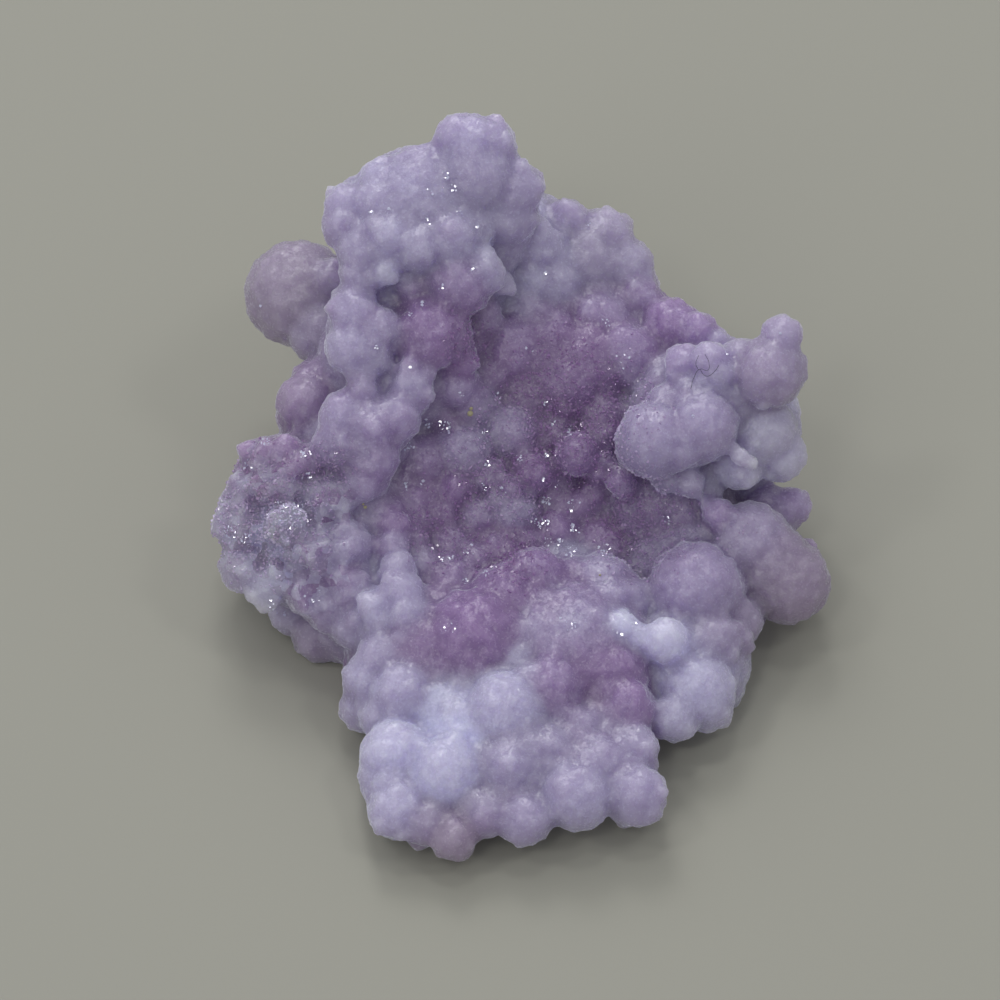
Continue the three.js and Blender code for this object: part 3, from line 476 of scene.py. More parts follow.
class ShapeSettings(bpy.types.PropertyGroup):
    """Sizes of the cluster's skin and crystals"""

    grid: bpy.props.FloatProperty(
        name="Grid", description="Width of the skin's mesh", default=0.0002, unit="LENGTH"
    )
    bud_least: bpy.props.FloatProperty(
        name="Smallest bud", description="Least radius of the small globules", default=0.00028, unit="LENGTH"
    )
    bud_most: bpy.props.FloatProperty(
        name="Largest bud", description="Most radius of the small globules", default=0.00062, unit="LENGTH"
    )
    bud_count: bpy.props.FloatProperty(
        name="Buds", description="Small globules for each millimetre of a globule's radius", default=2.2
    )
    ripple: bpy.props.FloatProperty(
        name="Ripple", description="Height of the skin's low lumps", default=0.00032, unit="LENGTH"
    )
    softness: bpy.props.IntProperty(
        name="Softness", description="Rounds of smoothing where the lumps have grown together", default=45
    )
    crust: bpy.props.FloatProperty(
        name="Crust", description="Height of the crust of small lumps", default=0.0002, unit="LENGTH"
    )
    crystal: bpy.props.FloatProperty(
        name="Crystal", description="Width of a crystal of the druse", default=0.00014, unit="LENGTH"
    )
    druse: bpy.props.FloatProperty(
        name="Druse", description="Most crystals for each square millimetre", default=55.0
    )


class LookSettings(bpy.types.PropertyGroup):
    """Colours of the stone"""

    mauve: bpy.props.FloatVectorProperty(
        name="Mauve", description="Stone deep in the hollow", subtype="COLOR", default=(0.26, 0.17, 0.335)
    )
    lilac: bpy.props.FloatVectorProperty(
        name="Lilac", description="Most of the stone", subtype="COLOR", default=(0.375, 0.335, 0.49)
    )
    # frost is also the colour of the painted edge highlights and the painted glare
    frost: bpy.props.FloatVectorProperty(
        name="Frost", description="Pale tips and rims", subtype="COLOR", default=(0.60, 0.595, 0.80)
    )
    glass: bpy.props.FloatVectorProperty(
        name="Glass", description="Tint of what shines through", subtype="COLOR", default=(0.8, 0.72, 0.84)
    )
    clear: bpy.props.FloatVectorProperty(
        name="Clear", description="Clearer, greyer globules", subtype="COLOR", default=(0.43, 0.37, 0.455)
    )
    depth: bpy.props.FloatProperty(
        name="Depth", description="How far light spreads in the stone", default=0.004, unit="LENGTH"
    )


class StageSettings(bpy.types.PropertyGroup):
    """The floor, the light and the camera"""

    floor: bpy.props.FloatVectorProperty(
        name="Floor", description="Colour of the floor", subtype="COLOR", default=(0.345, 0.34, 0.29)
    )
    key: bpy.props.FloatProperty(
        name="Key", description="Power of the large light behind", default=0.45, subtype="POWER"
    )
    window: bpy.props.FloatProperty(
        name="Window", description="Power of the small light behind", default=0.35, subtype="POWER"
    )
    spark: bpy.props.FloatProperty(
        name="Spark", description="Power of each light for the glints", default=0.14, subtype="POWER"
    )
    fill: bpy.props.FloatProperty(
        name="Fill", description="Power of the light in front", default=0.2, subtype="POWER"
    )
    sky: bpy.props.FloatProperty(name="Sky", description="Strength of the light all round", default=0.45)
    distance: bpy.props.FloatProperty(
        name="Distance", description="From the camera to the face", default=0.4, unit="LENGTH"
    )
    width: bpy.props.FloatProperty(
        name="Width", description="Width of the view at the face", default=0.05, unit="LENGTH"
    )


class Value:
    """A number that nodes work out, which takes part in plain arithmetic"""

    def __init__(self, tree, socket):
        self.tree = tree
        self.socket = socket

    def _join(self, operation, first, second):
        node = self.tree.nodes.new("ShaderNodeMath")
        node.operation = operation
        for socket, value in zip(node.inputs, (first, second)):
            if isinstance(value, Value):
                self.tree.links.new(value.socket, socket)
            else:
                socket.default_value = value
        return Value(self.tree, node.outputs[0])

    def __add__(self, other):
        return self._join("ADD", self, other)

    def __sub__(self, other):
        return self._join("SUBTRACT", self, other)

    def __mul__(self, other):
        return self._join("MULTIPLY", self, other)


class Looks:
    """A material's nodes"""

    def __init__(self, name):
        self.material = bpy.data.materials.new(name)
        self.material.use_nodes = True
        self.tree = self.material.node_tree
        self.shader = self.tree.nodes["Principled BSDF"]

    def node(self, kind, output=0, settings=None, **inputs):
        """A new node's output; inputs are named by their sockets, with _ for a space"""
        made = self.tree.nodes.new(kind)
        for name, setting in (settings or {}).items():
            setattr(made, name, setting)
        for name, value in inputs.items():
            self.put(made.inputs[name.replace("_", " ")], value)
        return Value(self.tree, made.outputs[output])

    def put(self, socket, value):
        """Link a value to a socket, or set it there"""
        if isinstance(value, Value):
            self.tree.links.new(value.socket, socket)
        else:
            socket.default_value = value

    def set(self, **inputs):
        """Set or link the shader's own sockets"""
        for name, value in inputs.items():
            self.put(self.shader.inputs[name.replace("_", " ")], value)

    def mix(self, factor, first, second):
        """A blend of two colours"""
        made = self.tree.nodes.new("ShaderNodeMix")
        made.data_type = "RGBA"
        self.put(made.inputs[0], factor)
        self.put(made.inputs[6], first if isinstance(first, Value) else (*first, 1))
        self.put(made.inputs[7], second if isinstance(second, Value) else (*second, 1))
        return Value(self.tree, made.outputs[2])

    def step(self, value, low, high):
        """0 below low, 1 above high, and smooth between them"""
        made = self.tree.nodes.new("ShaderNodeMapRange")
        made.interpolation_type = "SMOOTHSTEP"
        self.put(made.inputs["Value"], value)
        made.inputs["From Min"].default_value = low
        made.inputs["From Max"].default_value = high
        return Value(self.tree, made.outputs[0])

    def vector(self, operation, first, second=(0, 0, 0)):
        """Vector arithmetic on two vectors or colours"""
        made = self.tree.nodes.new("ShaderNodeVectorMath")
        made.operation = operation
        self.put(made.inputs[0], first)
        if operation == "SCALE":
            self.put(made.inputs["Scale"], second)
        else:
            self.put(made.inputs[1], second)
        return Value(self.tree, made.outputs[0])

    def facets(self, normal, place, size, tilt):
        """A normal, turned a little in each small cell, as tiny crystal faces are"""
        cells = self.node("ShaderNodeTexVoronoi", output="Color", Vector=place, Scale=1 / size)
        lean = self.vector("SCALE", self.vector("SUBTRACT", cells, (0.5, 0.5, 0.5)), tilt)
        return self.vector("NORMALIZE", self.vector("ADD", normal, lean))

    def cell_number(self, place, size):
        """A random number for each small cell, the same cells as facets has"""
        middle = self.node("ShaderNodeTexVoronoi", output="Position", Vector=place, Scale=1 / size)
        return self.node("ShaderNodeTexWhiteNoise", output="Value", Vector=middle)

    def attribute(self, name):
        """A number that the mesh carries at each point"""
        return self.node("ShaderNodeAttribute", output="Fac", settings={"attribute_name": name})

    def glassy(self, share, colour, roughness, normal):
        """Let a share of the light straight through the stone"""
        glass = self.tree.nodes.new("ShaderNodeBsdfRefraction")
        glass.inputs["Color"].default_value = (*colour, 1)
        glass.inputs["Roughness"].default_value = roughness
        glass.inputs["IOR"].default_value = GLASS_GLOSS
        self.put(glass.inputs["Normal"], normal)
        both = self.tree.nodes.new("ShaderNodeMixShader")
        self.put(both.inputs[0], share)
        self.tree.links.new(self.shader.outputs[0], both.inputs[1])
        self.tree.links.new(glass.outputs[0], both.inputs[2])
        self.tree.links.new(both.outputs[0], self.tree.nodes["Material Output"].inputs["Surface"])

    def millimetres(self):
        """The object's own coordinates in millimetres"""
        place = self.node("ShaderNodeTexCoord", output="Object")
        return self.node("ShaderNodeMapping", Vector=place, Scale=(1 / MM, 1 / MM, 1 / MM))


def deselect():
    """Clear the selection"""
    if bpy.context.object and bpy.context.object.mode != "OBJECT":
        bpy.ops.object.mode_set(mode="OBJECT")
    bpy.ops.object.select_all(action="DESELECT")


def take(piece):
    """Select one object alone and make it the active one"""
    deselect()
    piece.select_set(True)
    bpy.context.view_layer.objects.active = piece


def select_points(piece, numbers):
    """Edit the piece with these points alone selected"""
    take(piece)
    bpy.ops.object.mode_set(mode="EDIT")
    bpy.ops.mesh.select_mode(type="VERT")
    bpy.ops.mesh.select_all(action="DESELECT")
    bpy.ops.object.mode_set(mode="OBJECT")
    for number in numbers:
        piece.data.vertices[number].select = True
    bpy.ops.object.mode_set(mode="EDIT")


def read_points(piece, kind):
    """The places, co, or the directions, normal, of a piece's points"""
    values = np.empty(len(piece.data.vertices) * 3)
    piece.data.vertices.foreach_get(kind, values)
    return values.reshape(-1, 3)


def any_turn(dice):
    """A turn about all three axes"""
    return Euler([dice.uniform(0, math.pi) for _ in range(3)]).to_matrix().to_4x4()


def copy_at(start, place):
    """A copy of the start with its own mesh, sized, turned and placed by the matrix"""
    copy = start.copy()
    copy.data = start.data.copy()
    copy.data.transform(place)
    bpy.context.collection.objects.link(copy)
    return copy


def join_parts(parts, name):
    """One object of all the parts"""
    deselect()
    for part in parts:
        part.select_set(True)
    bpy.context.view_layer.objects.active = parts[0]
    bpy.ops.object.join()
    parts[0].name = name
    parts[0].data.name = name
    return parts[0]


def modify(piece, kind, **settings):
    """Add a modifier to a piece and apply it"""
    take(piece)
    modifier = piece.modifiers.new(kind.title(), kind)
    for name, value in settings.items():
        setattr(modifier, name, value)
    bpy.ops.object.modifier_apply(modifier=modifier.name)


def ball_start(subdivisions):
    """A ball of radius one, to copy at each globule's size and place"""
    deselect()
    bpy.ops.mesh.primitive_ico_sphere_add(subdivisions=subdivisions, radius=1, location=(0, 0, 0))
    return bpy.context.active_object


def block_places(globules):
    """Where each blocky crystal stands, as the matrix that turns, sizes and places it on the globules"""
    dice = random.Random(SEED + 3)
    spots = list(BLOCKS)
    for across, up, reach, number in BLOCK_FIELDS:
        for _ in range(number):
            width = dice.uniform(LEAST_BLOCK, MOST_BLOCK)
            spread = reach * BLOCK_SPREAD
            spots.append((dice.gauss(across, spread), dice.gauss(up, spread), width))
    centres = np.array([tuple(centre) for centre, _ in globules])
    radii = np.array([radius for _, radius in globules])
    rows = on_face(centres)
    places = []
    for across, up, width in spots:
        beside = (rows[:, 0] - across) ** 2 + (rows[:, 1] - up) ** 2
        under = beside < (radii * BLOCK_EDGE) ** 2
        if not under.any():
            continue
        out = (rows[under, 2] + np.sqrt(radii[under] ** 2 - beside[under])).max()
        middle = from_face(across, up, out - width * BLOCK_SINK)
        places.append(Matrix.Translation(middle * MM) @ any_turn(dice) @ Matrix.Scale(width * MM, 4))
    return places


def block_start():
    """A six-sided block one wide, to copy at each blocky crystal's size and place"""
    deselect()
    bpy.ops.mesh.primitive_cylinder_add(vertices=6, radius=0.5, depth=1.0, location=(0, 0, 0))
    return bpy.context.active_object


def join_forms(globules, name):
    """One object that holds a ball for each globule, and the wing's blocks"""
    dice = random.Random(SEED)
    starts = {fineness: ball_start(fineness) for fineness in (2, 3, 4)}
    copies = []
    for centre, radius in globules:
        fineness = 2 if radius < SMALL_BALL else 3 if radius < LARGE_BALL else 4
        place = Matrix.Translation(centre * MM) @ any_turn(dice) @ Matrix.Scale(radius * MM, 4)
        copies.append(copy_at(starts[fineness], place))
    starts["block"] = block_start()
    copies += [copy_at(starts["block"], place) for place in block_places(globules)]
    piece = join_parts(copies, name)
    for start in starts.values():
        bpy.data.objects.remove(start)
    return piece


def keep_largest_part(piece):
    """Delete sealed voids and crumbs, and keep what the topmost point belongs to"""
    heights = read_points(piece, "co")[:, 2]
    select_points(piece, [int(heights.argmax())])
    bpy.ops.mesh.select_linked()
    bpy.ops.mesh.select_all(action="INVERT")
    bpy.ops.mesh.delete(type="VERT")
    bpy.ops.object.mode_set(mode="OBJECT")


def break_flat(piece):
    """Cut the piece off at the level it rests on and close the cut"""
    take(piece)
    bpy.ops.object.mode_set(mode="EDIT")
    bpy.ops.mesh.select_all(action="SELECT")
    bpy.ops.mesh.bisect(
        plane_co=(0, 0, 0), plane_no=(0, 0, 1), use_fill=True, clear_inner=True, threshold=CUT_THRESHOLD
    )
    bpy.ops.mesh.select_all(action="SELECT")
    bpy.ops.mesh.normals_make_consistent(inside=False)
    bpy.ops.object.mode_set(mode="OBJECT")


def ripple_texture(name, size, kind="CLOUDS"):
    """A procedural texture with lumps of about the given size"""
    texture = bpy.data.textures.new(name, kind)
    texture.noise_scale = size * MM
    return texture


def spot_weights(places, spots):
    """How near each place is to each spot, from 1 down to 0"""
    centres = np.array([spot[:-2] for spot in spots])
    reach = np.array([spot[-2] for spot in spots])
    away = places[:, None, : centres.shape[1]] - centres[None]
    return np.exp(-((away**2).sum(axis=2)) / (2 * (reach * SPOT_WIDTH) ** 2))


def strongest(places, spots):
    """The most that any one spot gives each place: its last number, and less further from its middle"""
    return (spot_weights(places, spots) * [spot[-1] for spot in spots]).max(axis=1)


def globule_tones(centres):
    """How pale and how clear each globule is, each a little different from the next"""
    dice = np.random.default_rng(SEED)
    face = on_face(centres)
    weights = spot_weights(face, TONES_AND_GLARE)
    values = np.array([spot[-1] for spot in TONES_AND_GLARE])
    pale = (weights @ values + PLAIN_WEIGHT * PLAIN_TONE) / (weights.sum(axis=1) + PLAIN_WEIGHT)
    return pale + dice.normal(0, TONE_SPREAD, len(pale)), strongest(face, CLEAR_SPOTS)


def soft_group(piece):
    """A vertex group, soft, of the masses whose lumps have nearly grown together"""
    face = on_face(read_points(piece, "co") / MM)
    soft = strongest(face, SOFT_SPOTS) * (face[:, 2] > SOFT_DEPTH)
    group = piece.vertex_groups.new(name="soft")
    for step in range(1, SOFT_STEPS + 1):
        members = np.flatnonzero(np.round(soft * SOFT_STEPS) == step)
        group.add(members.tolist(), step / SOFT_STEPS, "REPLACE")


def write_number(piece, name, numbers):
    """Store a number for each point of the piece"""
    attribute = piece.data.attributes.new(name, "FLOAT", "POINT")
    attribute.data.foreach_set("value", np.asarray(numbers, dtype=np.float32))


def smooth_step(values, low, high):
    """The same as the step of a look, for an array of numbers"""
    share = np.clip((values - low) / (high - low), 0, 1)
    return share * share * (3 - 2 * share)


def rim_highlight_share(piece):
    """Where to paint the edge highlight: 1 where the skin stands square to the face, as at a globule's edge,
    and 0 elsewhere
    """
    outwards = read_points(piece, "normal") @ np.array(OUT)
    return smooth_step(outwards, *RIM_RISE) - smooth_step(outwards, *RIM_FALL)


def colour_by_globule(piece, globules):
    """Give each point the tone of the globules it lies on, and how deep it lies between them, where the
    colour is darkened as painted shade
    """
    places = read_points(piece, "co") / MM
    centres = np.array([tuple(centre) for centre, _ in globules])
    radii = np.array([radius for _, radius in globules])
    pale, clear = globule_tones(centres)
    tone, clearness, crevice_shade = (np.empty(len(places)) for _ in range(3))
    for start in range(0, len(places), POINTS_AT_ONCE):
        part = slice(start, start + POINTS_AT_ONCE)
        away = np.linalg.norm(places[part, None] - centres[None], axis=2) - radii
        share = np.exp(-(away - away.min(axis=1, keepdims=True)) / TONE_BLEND)
        share /= share.sum(axis=1, keepdims=True)
        tone[part] = share @ pale
        clearness[part] = share @ clear
        crevice_shade[part] = 1 - share.max(axis=1)
    face = on_face(places)
    druse = strongest(face, DRUSE_SPOTS) * (face[:, 2] > DRUSE_DEPTH)
    druse = np.clip(druse * DRUSE_CONTRAST - DRUSE_CUT, 0, 1)
    write_number(piece, "paleness", tone)
    write_number(piece, "clearness", clearness)
    # painted shade: how deep each point lies between globules, which darkens the colour there
    write_number(piece, "crevice_shade", crevice_shade)
    write_number(piece, "druse", druse * (places[:, 2] > DRUSE_FOOT))
    # painted highlight: paler edges where the skin turns side-on to the face
    write_number(piece, "rim_highlight", rim_highlight_share(piece) * np.clip((face[:, 2] - RIM_DEPTH) / RIM_FADE, 0, 1))
    blocky = spot_weights(face, BLOCK_FIELDS).max(axis=1)
    write_number(piece, "blocky", np.clip(blocky * BLOCKY_CONTRAST, 0, 1))


def stone_colour(looks, colours, place):
    """The stone's colour, from mauve through lilac to frost, and clearer in places, with painted shade
    between globules and painted highlights on their edges
    """
    broad = looks.node("ShaderNodeTexNoise", Vector=place, Scale=0.35, Detail=3.0)
    fine = looks.node("ShaderNodeTexNoise", Vector=place, Scale=2.6, Detail=5.0, Roughness=0.65)
    # painted shade: the colour is darkened deep between globules, below
    crevice_shade = looks.attribute("crevice_shade")
    face = looks.cell_number(place, 0.5)
    grain = looks.cell_number(place, 0.13)
    pale = looks.attribute("paleness") + (broad - 0.5) * 0.25 + (fine - 0.5) * 0.16
    # partly painted highlight: the wing's paler and darker cells are partly the stone's patchy tone, partly
    # crystal faces that catch the light
    pale = pale + (face - 0.5) * looks.attribute("blocky") * 0.55 + (grain - 0.5) * 0.07
    # painted highlight: the edges are made paler where the skin turns side-on to the face
    pale = pale - crevice_shade * 0.1 + looks.attribute("rim_highlight") * RIM_HIGHLIGHT
    colour = looks.mix(looks.step(pale, 0.0, 0.5), colours.mauve, colours.lilac)
    colour = looks.mix(looks.step(pale, 0.45, 1.0), colour, colours.frost)
    return looks.mix(looks.attribute("clearness") * 0.7, colour, colours.clear)


def chalcedony_look(colours):
    """Frosted, translucent stone with a fine crystal skin"""
    looks = Looks("chalcedony")
    place = looks.millimetres()
    grain = looks.node("ShaderNodeTexNoise", Vector=place, Scale=7.0, Detail=3.0)
    cells = looks.node("ShaderNodeTexVoronoi", Vector=place, Scale=3.4)
    tiny = looks.node("ShaderNodeTexVoronoi", Vector=place, Scale=9.0)
    colour = stone_colour(looks, colours, place)
    speck = looks.step(grain, 0.55, 0.75) * 0.15
    colour = looks.mix(speck, colour, colours.frost)
    height = grain * 0.5 + cells * 0.35 + tiny * 0.25
    druse = looks.attribute("druse")
    blocky = looks.attribute("blocky")
    normal = looks.node("ShaderNodeNewGeometry", output="Normal")
    faces = looks.facets(normal, place, 0.5, blocky * 0.9)
    faces = looks.facets(faces, place, 0.15, druse * 0.5 + 0.25)
    bump = looks.node("ShaderNodeBump", Height=height, Normal=faces, Strength=0.45, Distance=0.0001)
    gloss = looks.cell_number(place, 0.15)
    mirror = looks.step(gloss, 0.66, 0.7) * (druse * 0.7 + 0.3)
    looks.set(
        Base_Color=colour,
        Roughness=looks.step(grain, 0.3, 0.7) * 0.1 + 0.2 - mirror * 0.13,
        Normal=bump,
        IOR=1.54,
        Subsurface_Weight=1.0,
        Subsurface_Radius=(1.0, 0.85, 1.05),
        Subsurface_Scale=colours.depth,
        Sheen_Weight=0.8,
        Sheen_Roughness=0.3,
    )
    looks.shader.inputs["Sheen Tint"].default_value = (0.9, 0.88, 1.0, 1)
    looks.glassy(looks.attribute("clearness") * 0.2, colours.glass, 0.2, bump)
    return looks.material


def crystal_look(name, colours, gloss, pale):
    """Bright, clear faces, pale or in the stone's colour with its painted shade and painted edge highlights
    """
    looks = Looks(name)
    colour = (*colours.frost, 1)
    if not pale:
        colour = looks.vector("MULTIPLY", stone_colour(looks, colours, looks.millimetres()), CRYSTAL_TINT)
    looks.set(
        Base_Color=colour,
        Roughness=0.07,
        IOR=gloss,
        Subsurface_Weight=0.35,
        Subsurface_Radius=(1.0, 0.8, 1.15),
        Subsurface_Scale=0.00015,
    )
    return looks.material


def matt_look(name, colour, roughness):
    """One plain colour, without gloss"""
    looks = Looks(name)
    looks.set(Base_Color=(*colour, 1), Roughness=roughness)
    return looks.material


class CHALCEDONY_OT_body(bpy.types.Operator):
    """Grow the body of the cluster from its globules"""

    bl_idname = "chalcedony.body"
    bl_label = "Grow the body"

    def execute(self, context):
        shape = context.scene.chalcedony_shape
        bed = face_globules(BED + SLIT_FILLERS)
        rear = back_globules(MASSES, face_globules(CORE) + SEEN)
        sprouts = buds(SEEN + rear, shape.bud_count, shape.bud_least / MM, shape.bud_most / MM)
        globules = MASSES + bed + SEEN + rear + sprouts
        body = join_forms(globules, "chalcedony_body")
        modify(body, "REMESH", mode="VOXEL", voxel_size=shape.grid)
        keep_largest_part(body)
        soft_group(body)
        modify(body, "SMOOTH", factor=0.5, iterations=shape.softness, vertex_group="soft")
        lumps = ripple_texture("low lumps", LUMP_SIZE)
        modify(body, "DISPLACE", texture=lumps, texture_coords="LOCAL", strength=shape.ripple, mid_level=0.5)
        crust = ripple_texture("crust", CRUST_SIZE, "VORONOI")
        modify(body, "DISPLACE", texture=crust, texture_coords="LOCAL", strength=-shape.crust, mid_level=0.4)
        modify(body, "SMOOTH", factor=0.5, iterations=1)
        break_flat(body)
        take(body)
        bpy.ops.object.shade_smooth()
        colour_by_globule(body, globules)
        body.data.materials.clear()
        body.data.materials.append(chalcedony_look(context.scene.chalcedony_looks))
        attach(body, "root")
        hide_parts("grape_chalcedony")
        return {"FINISHED"}


def crystal_start(width, height, look):
    """A crystal that narrows to a blunt, leaning tip"""
    deselect()
    bpy.ops.mesh.primitive_cone_add(
        vertices=CRYSTAL_SIDES, radius1=width / 2, radius2=width / 2 * CRYSTAL_TIP, depth=height,
        location=(0, 0, height * CRYSTAL_RISE),
    )
    crystal = bpy.context.active_object
    bpy.ops.object.transform_apply(location=True, rotation=True, scale=True)
    tips = [vertex.index for vertex in crystal.data.vertices if vertex.co.z > 0]
    select_points(crystal, tips)
    sideways, forwards = CRYSTAL_LEAN
    bpy.ops.transform.translate(value=(width * sideways, width * forwards, 0))
    bpy.ops.object.mode_set(mode="OBJECT")
    crystal.data.materials.append(look)
    return crystal


def scatter(name, body, crystal, where, density, seed, spread):
    """A new piece with the crystal standing on the body, as thick as the body's number where says"""
    take(body)
    bpy.ops.object.duplicate()
    piece = bpy.context.active_object
    piece.name = name
    piece.data.name = name
    piece.data.materials.clear()
    tree = bpy.data.node_groups.new(name, "GeometryNodeTree")
    tree.interface.new_socket("Geometry", in_out="INPUT", socket_type="NodeSocketGeometry")
    tree.interface.new_socket("Geometry", in_out="OUTPUT", socket_type="NodeSocketGeometry")
    nodes = {}
    for key, kind in (
        ("skin", "NodeGroupInput"), ("points", "GeometryNodeDistributePointsOnFaces"),
        ("where", "GeometryNodeInputNamedAttribute"), ("thick", "ShaderNodeMath"),
        ("lean", "FunctionNodeRandomValue"), ("turn", "FunctionNodeRotateRotation"),
        ("size", "FunctionNodeRandomValue"), ("crystal", "GeometryNodeObjectInfo"),
        ("stand", "GeometryNodeInstanceOnPoints"), ("real", "GeometryNodeRealizeInstances"),
        ("made", "NodeGroupOutput"),
    ):
        nodes[key] = tree.nodes.new(kind)
    nodes["where"].data_type = "FLOAT"
    nodes["thick"].operation = "MULTIPLY"
    nodes["lean"].data_type = "FLOAT_VECTOR"
    nodes["turn"].rotation_space = "LOCAL"
    nodes["size"].data_type = "FLOAT"
    for key, socket, value in (
        ("where", "Name", where), ("thick", 1, density / MM**2), ("points", "Seed", seed),
        ("lean", "Min", (-spread, -spread, -math.pi)), ("lean", "Max", (spread, spread, math.pi)),
        ("lean", "Seed", seed + 1), ("size", 2, LEAST_CRYSTAL), ("size", 3, MOST_CRYSTAL),
        ("size", "Seed", seed + 2), ("crystal", "Object", crystal),
    ):
        nodes[key].inputs[socket].default_value = value
    for start, output, end, socket in (
        ("skin", 0, "points", "Mesh"), ("where", 0, "thick", 0), ("thick", 0, "points", "Density"),
        ("points", "Points", "stand", "Points"), ("points", "Rotation", "turn", "Rotation"),
        ("lean", 0, "turn", "Rotate By"), ("turn", 0, "stand", "Rotation"), ("size", 1, "stand", "Scale"),
        ("crystal", "Geometry", "stand", "Instance"), ("stand", 0, "real", 0), ("real", 0, "made", 0),
    ):
        tree.links.new(nodes[start].outputs[output], nodes[end].inputs[socket])
    modify(piece, "NODES", node_group=tree)
    bpy.data.objects.remove(crystal)
    return piece


class CHALCEDONY_OT_druse(bpy.types.Operator):
    """Stand small crystals on the body, thickest in the hollow and on the left wing"""

    bl_idname = "chalcedony.druse"
    bl_label = "Grow the druse"

    def execute(self, context):
        shape = context.scene.chalcedony_shape
        body = bpy.data.objects["chalcedony_body"]
        look = crystal_look("druse", context.scene.chalcedony_looks, DRUSE_GLOSS, False)
        crystal = crystal_start(shape.crystal, shape.crystal * CRYSTAL_HEIGHT, look)
        druse = scatter("druse", body, crystal, "druse", shape.druse, SEED, DRUSE_LEAN)
        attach(druse, "root")
        return {"FINISHED"}


def skin_place(body, across, up):
    """The point of the body that is seen at a place of the face"""
    hit, place, _, _ = body.ray_cast(from_face(across, up, EYE_OUT) * MM, -OUT)
    if not hit:
        raise RuntimeError(f"no stone at {across}, {up}")
    return place


def join_pieces(parts, name, look):
    """One piece of the parts, in one look"""
    piece = join_parts(parts, name)
    bpy.ops.object.transform_apply(location=True, rotation=True, scale=True)
    piece.data.materials.clear()
    piece.data.materials.append(look)
    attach(piece, "root")
    return piece


class CHALCEDONY_OT_glints(bpy.types.Operator):
    """Stand larger crystals on the body that mirror the small lights"""

    bl_idname = "chalcedony.glints"
    bl_label = "Grow the glints"

    def execute(self, context):
        body = bpy.data.objects["chalcedony_body"]
        deselect()
        bpy.ops.mesh.primitive_cylinder_add(
            vertices=GLINT_SIDES, radius=0.5, depth=GLINT_HEIGHT, location=(0, 0, 0)
        )
        start = context.active_object
        eye = FACE_MIDDLE + OUT * context.scene.chalcedony_stage.distance
        crystals = [copy_at(start, place) for place in self.places(body, eye)]
        bpy.data.objects.remove(start)
        look = crystal_look("glints", context.scene.chalcedony_looks, GLINT_GLOSS, True)
        join_pieces(crystals, "glints", look)
        return {"FINISHED"}

    def places(self, body, eye):
        """Matrices that size each crystal, turn its flat end between the eye and a light, and place it"""
        dice = random.Random(SEED + 5)
        found = []
        for across, up, reach, number in GLINTS:
            for _ in range(number * GLINT_SHARDS):
                beside, above = (dice.uniform(-reach, reach) for _ in range(2))
                middle = skin_place(body, across + beside, up + above)
                width = dice.uniform(LEAST_GLINT, MOST_GLINT)
                light = Vector(dice.choice(SPARKS))
                towards = (eye - middle).normalized() + (light - middle).normalized()
                towards += Vector([dice.uniform(-GLINT_LEAN, GLINT_LEAN) for _ in range(3)])
                turned = towards.to_track_quat("Z", "Y").to_matrix().to_4x4()
                spun = Matrix.Rotation(dice.uniform(0, math.pi), 4, "Z")
                breadth = Matrix.Scale(dice.uniform(LEAST_BREADTH, 1), 4, (1, 0, 0))
                sized = Matrix.Scale(width * MM, 4) @ breadth
                found.append(Matrix.Translation(middle) @ turned @ spun @ sized)
        return found


class CHALCEDONY_OT_dust(bpy.types.Operator):
    """Lay the fibre and the specks of dust on the body"""

    bl_idname = "chalcedony.dust"
    bl_label = "Lay the dust"

    def execute(self, context):
        body = bpy.data.objects["chalcedony_body"]
        strands = [self.strand(body, strand) for strand in FIBRE]
        specks = [self.speck(body, *speck) for speck in SPECKS]
        join_pieces(strands, "fibre", matt_look("fibre", FIBRE_COLOUR, 0.7))
        join_pieces(specks, "specks", matt_look("specks", SPECK_COLOUR, 0.7))
        return {"FINISHED"}

    def strand(self, body, points):
        """A thin tube through points that lie a little above the stone"""
        deselect()
        bpy.ops.curve.primitive_bezier_curve_add()
        curve = bpy.context.active_object
        spline = curve.data.splines[0]
        spline.bezier_points.add(len(points) - 2)
        for point, (across, up) in zip(spline.bezier_points, points):
            point.co = skin_place(body, across, up) + OUT * FIBRE_LIFT * MM
            point.handle_left_type = "AUTO"
            point.handle_right_type = "AUTO"
        curve.data.resolution_u = 6
        curve.data.bevel_depth = FIBRE_RADIUS * MM
        curve.data.bevel_resolution = 1
        curve.data.use_fill_caps = True
        bpy.ops.object.convert(target="MESH")
        return bpy.context.active_object

    def speck(self, body, across, up, radius):
        """A small grain, half sunk in the stone"""
        deselect()
        bpy.ops.mesh.primitive_ico_sphere_add(
            subdivisions=2, radius=radius * MM, location=skin_place(body, across, up)
        )
        return bpy.context.active_object


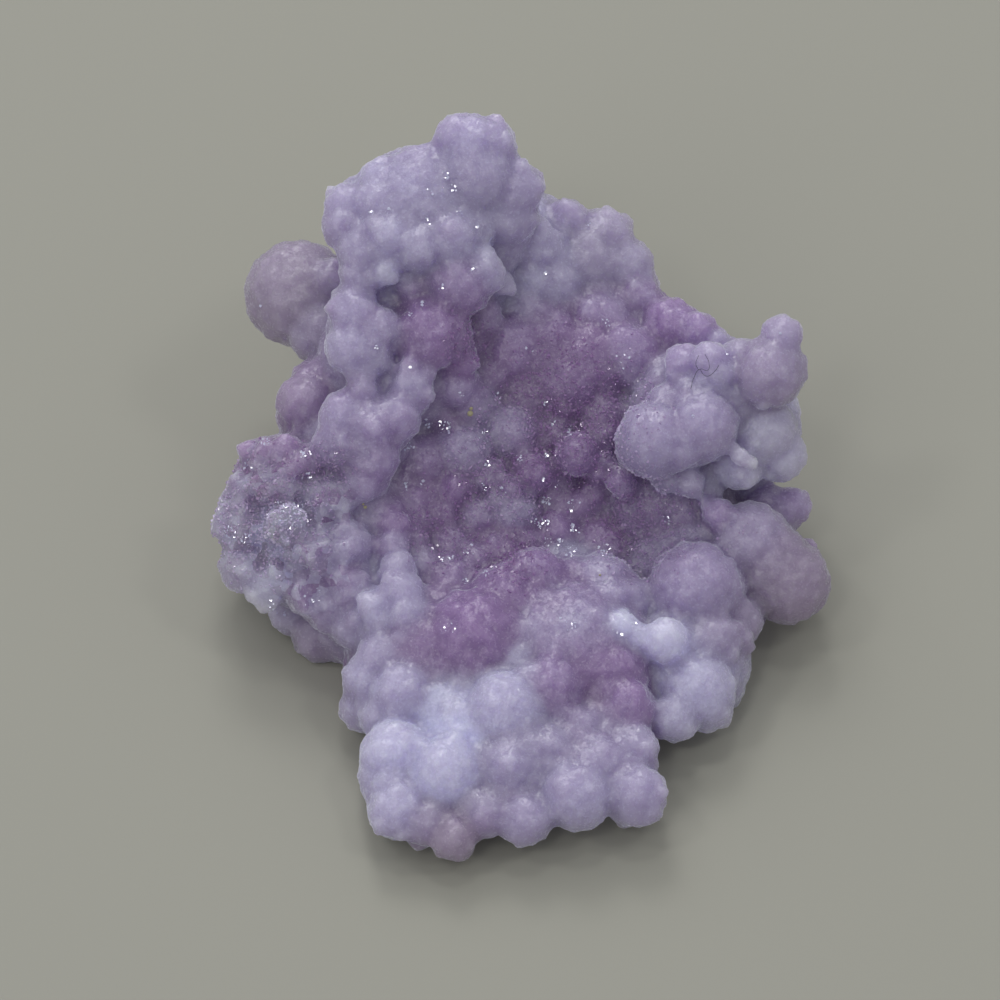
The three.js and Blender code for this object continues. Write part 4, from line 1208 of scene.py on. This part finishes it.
class CHALCEDONY_OT_stage(bpy.types.Operator):
    """Lay the floor, hang the lights and place the camera"""

    bl_idname = "chalcedony.stage"
    bl_label = "Set the stage"

    def execute(self, context):
        stage = context.scene.chalcedony_stage
        deselect()
        bpy.ops.mesh.primitive_plane_add(size=4, location=(0, 0, 0))
        floor = context.active_object
        floor.name = "floor"
        floor.data.materials.append(matt_look("floor", stage.floor, 0.8))
        world = bpy.data.worlds.new("studio")
        world.use_nodes = True
        world.node_tree.nodes["Background"].inputs["Color"].default_value = (0.93, 0.95, 1.0, 1)
        world.node_tree.nodes["Background"].inputs["Strength"].default_value = stage.sky
        context.scene.world = world
        self.hang("window", (-0.06, 0.32, 0.36), 0.13, stage.window, (1.0, 1.0, 1.0))
        self.hang("key", (-0.1, 0.3, 0.36), 0.36, stage.key, (0.97, 0.97, 1.0))
        for number, place in enumerate(SPARKS):
            self.hang(f"spark {number}", place, SPARK_WIDTH, stage.spark, (1.0, 1.0, 1.0))
        self.hang("fill", (-0.25, -0.3, 0.3), 0.25, stage.fill, (1.0, 0.98, 0.96))
        self.place_camera(context, stage)
        context.scene.view_settings.view_transform = "Standard"
        return {"FINISHED"}

    def hang(self, name, place, size, power, colour):
        """A square light that faces the specimen"""
        deselect()
        turned = (FACE_MIDDLE - Vector(place)).to_track_quat("-Z", "Y").to_euler()
        bpy.ops.object.light_add(type="AREA", location=place, rotation=turned)
        light = bpy.context.active_object
        light.name = name
        light.data.size = size
        light.data.energy = power
        light.data.color = colour

    def place_camera(self, context, stage):
        """The camera looks square at the hollow face"""
        deselect()
        place = FACE_MIDDLE + OUT * stage.distance
        turned = (-OUT).to_track_quat("-Z", "Y").to_euler()
        bpy.ops.object.camera_add(location=place, rotation=turned)
        camera = context.active_object
        camera.data.sensor_width = SENSOR_WIDTH
        camera.data.lens = SENSOR_WIDTH * stage.distance / stage.width
        camera.data.clip_start = 0.01
        camera.data.clip_end = 10
        context.scene.camera = camera


class CHALCEDONY_PT_panel(bpy.types.Panel):
    """Steps and settings of the specimen"""

    bl_idname = "CHALCEDONY_PT_panel"
    bl_label = "Grape chalcedony"
    bl_space_type = "VIEW_3D"
    bl_region_type = "UI"
    bl_category = "Mineral"

    def draw(self, context):
        layout = self.layout
        for step in ("body", "druse", "glints", "dust", "stage"):
            layout.operator(f"chalcedony.{step}")
        for group in ("chalcedony_shape", "chalcedony_looks", "chalcedony_stage"):
            settings = getattr(context.scene, group)
            box = layout.box()
            for name in settings.bl_rna.properties.keys():
                if name not in ("rna_type", "name"):
                    box.prop(settings, name)


CLASSES = (
    ShapeSettings,
    LookSettings,
    StageSettings,
    CHALCEDONY_OT_body,
    CHALCEDONY_OT_druse,
    CHALCEDONY_OT_glints,
    CHALCEDONY_OT_dust,
    CHALCEDONY_OT_stage,
    CHALCEDONY_PT_panel,
)


def register():
    """Add the classes and their settings"""
    for cls in CLASSES:
        bpy.utils.register_class(cls)
    bpy.types.Scene.chalcedony_shape = bpy.props.PointerProperty(type=ShapeSettings)
    bpy.types.Scene.chalcedony_looks = bpy.props.PointerProperty(type=LookSettings)
    bpy.types.Scene.chalcedony_stage = bpy.props.PointerProperty(type=StageSettings)


def unregister():
    """Take the classes and their settings away"""
    del bpy.types.Scene.chalcedony_stage
    del bpy.types.Scene.chalcedony_looks
    del bpy.types.Scene.chalcedony_shape
    for cls in reversed(CLASSES):
        bpy.utils.unregister_class(cls)


def main():
    """Build the specimen and its stage"""
    register()
    bpy.ops.chalcedony.body()
    bpy.ops.chalcedony.druse()
    bpy.ops.chalcedony.glints()
    bpy.ops.chalcedony.dust()
    bpy.ops.chalcedony.stage()


if __name__ == "__main__":
    main()
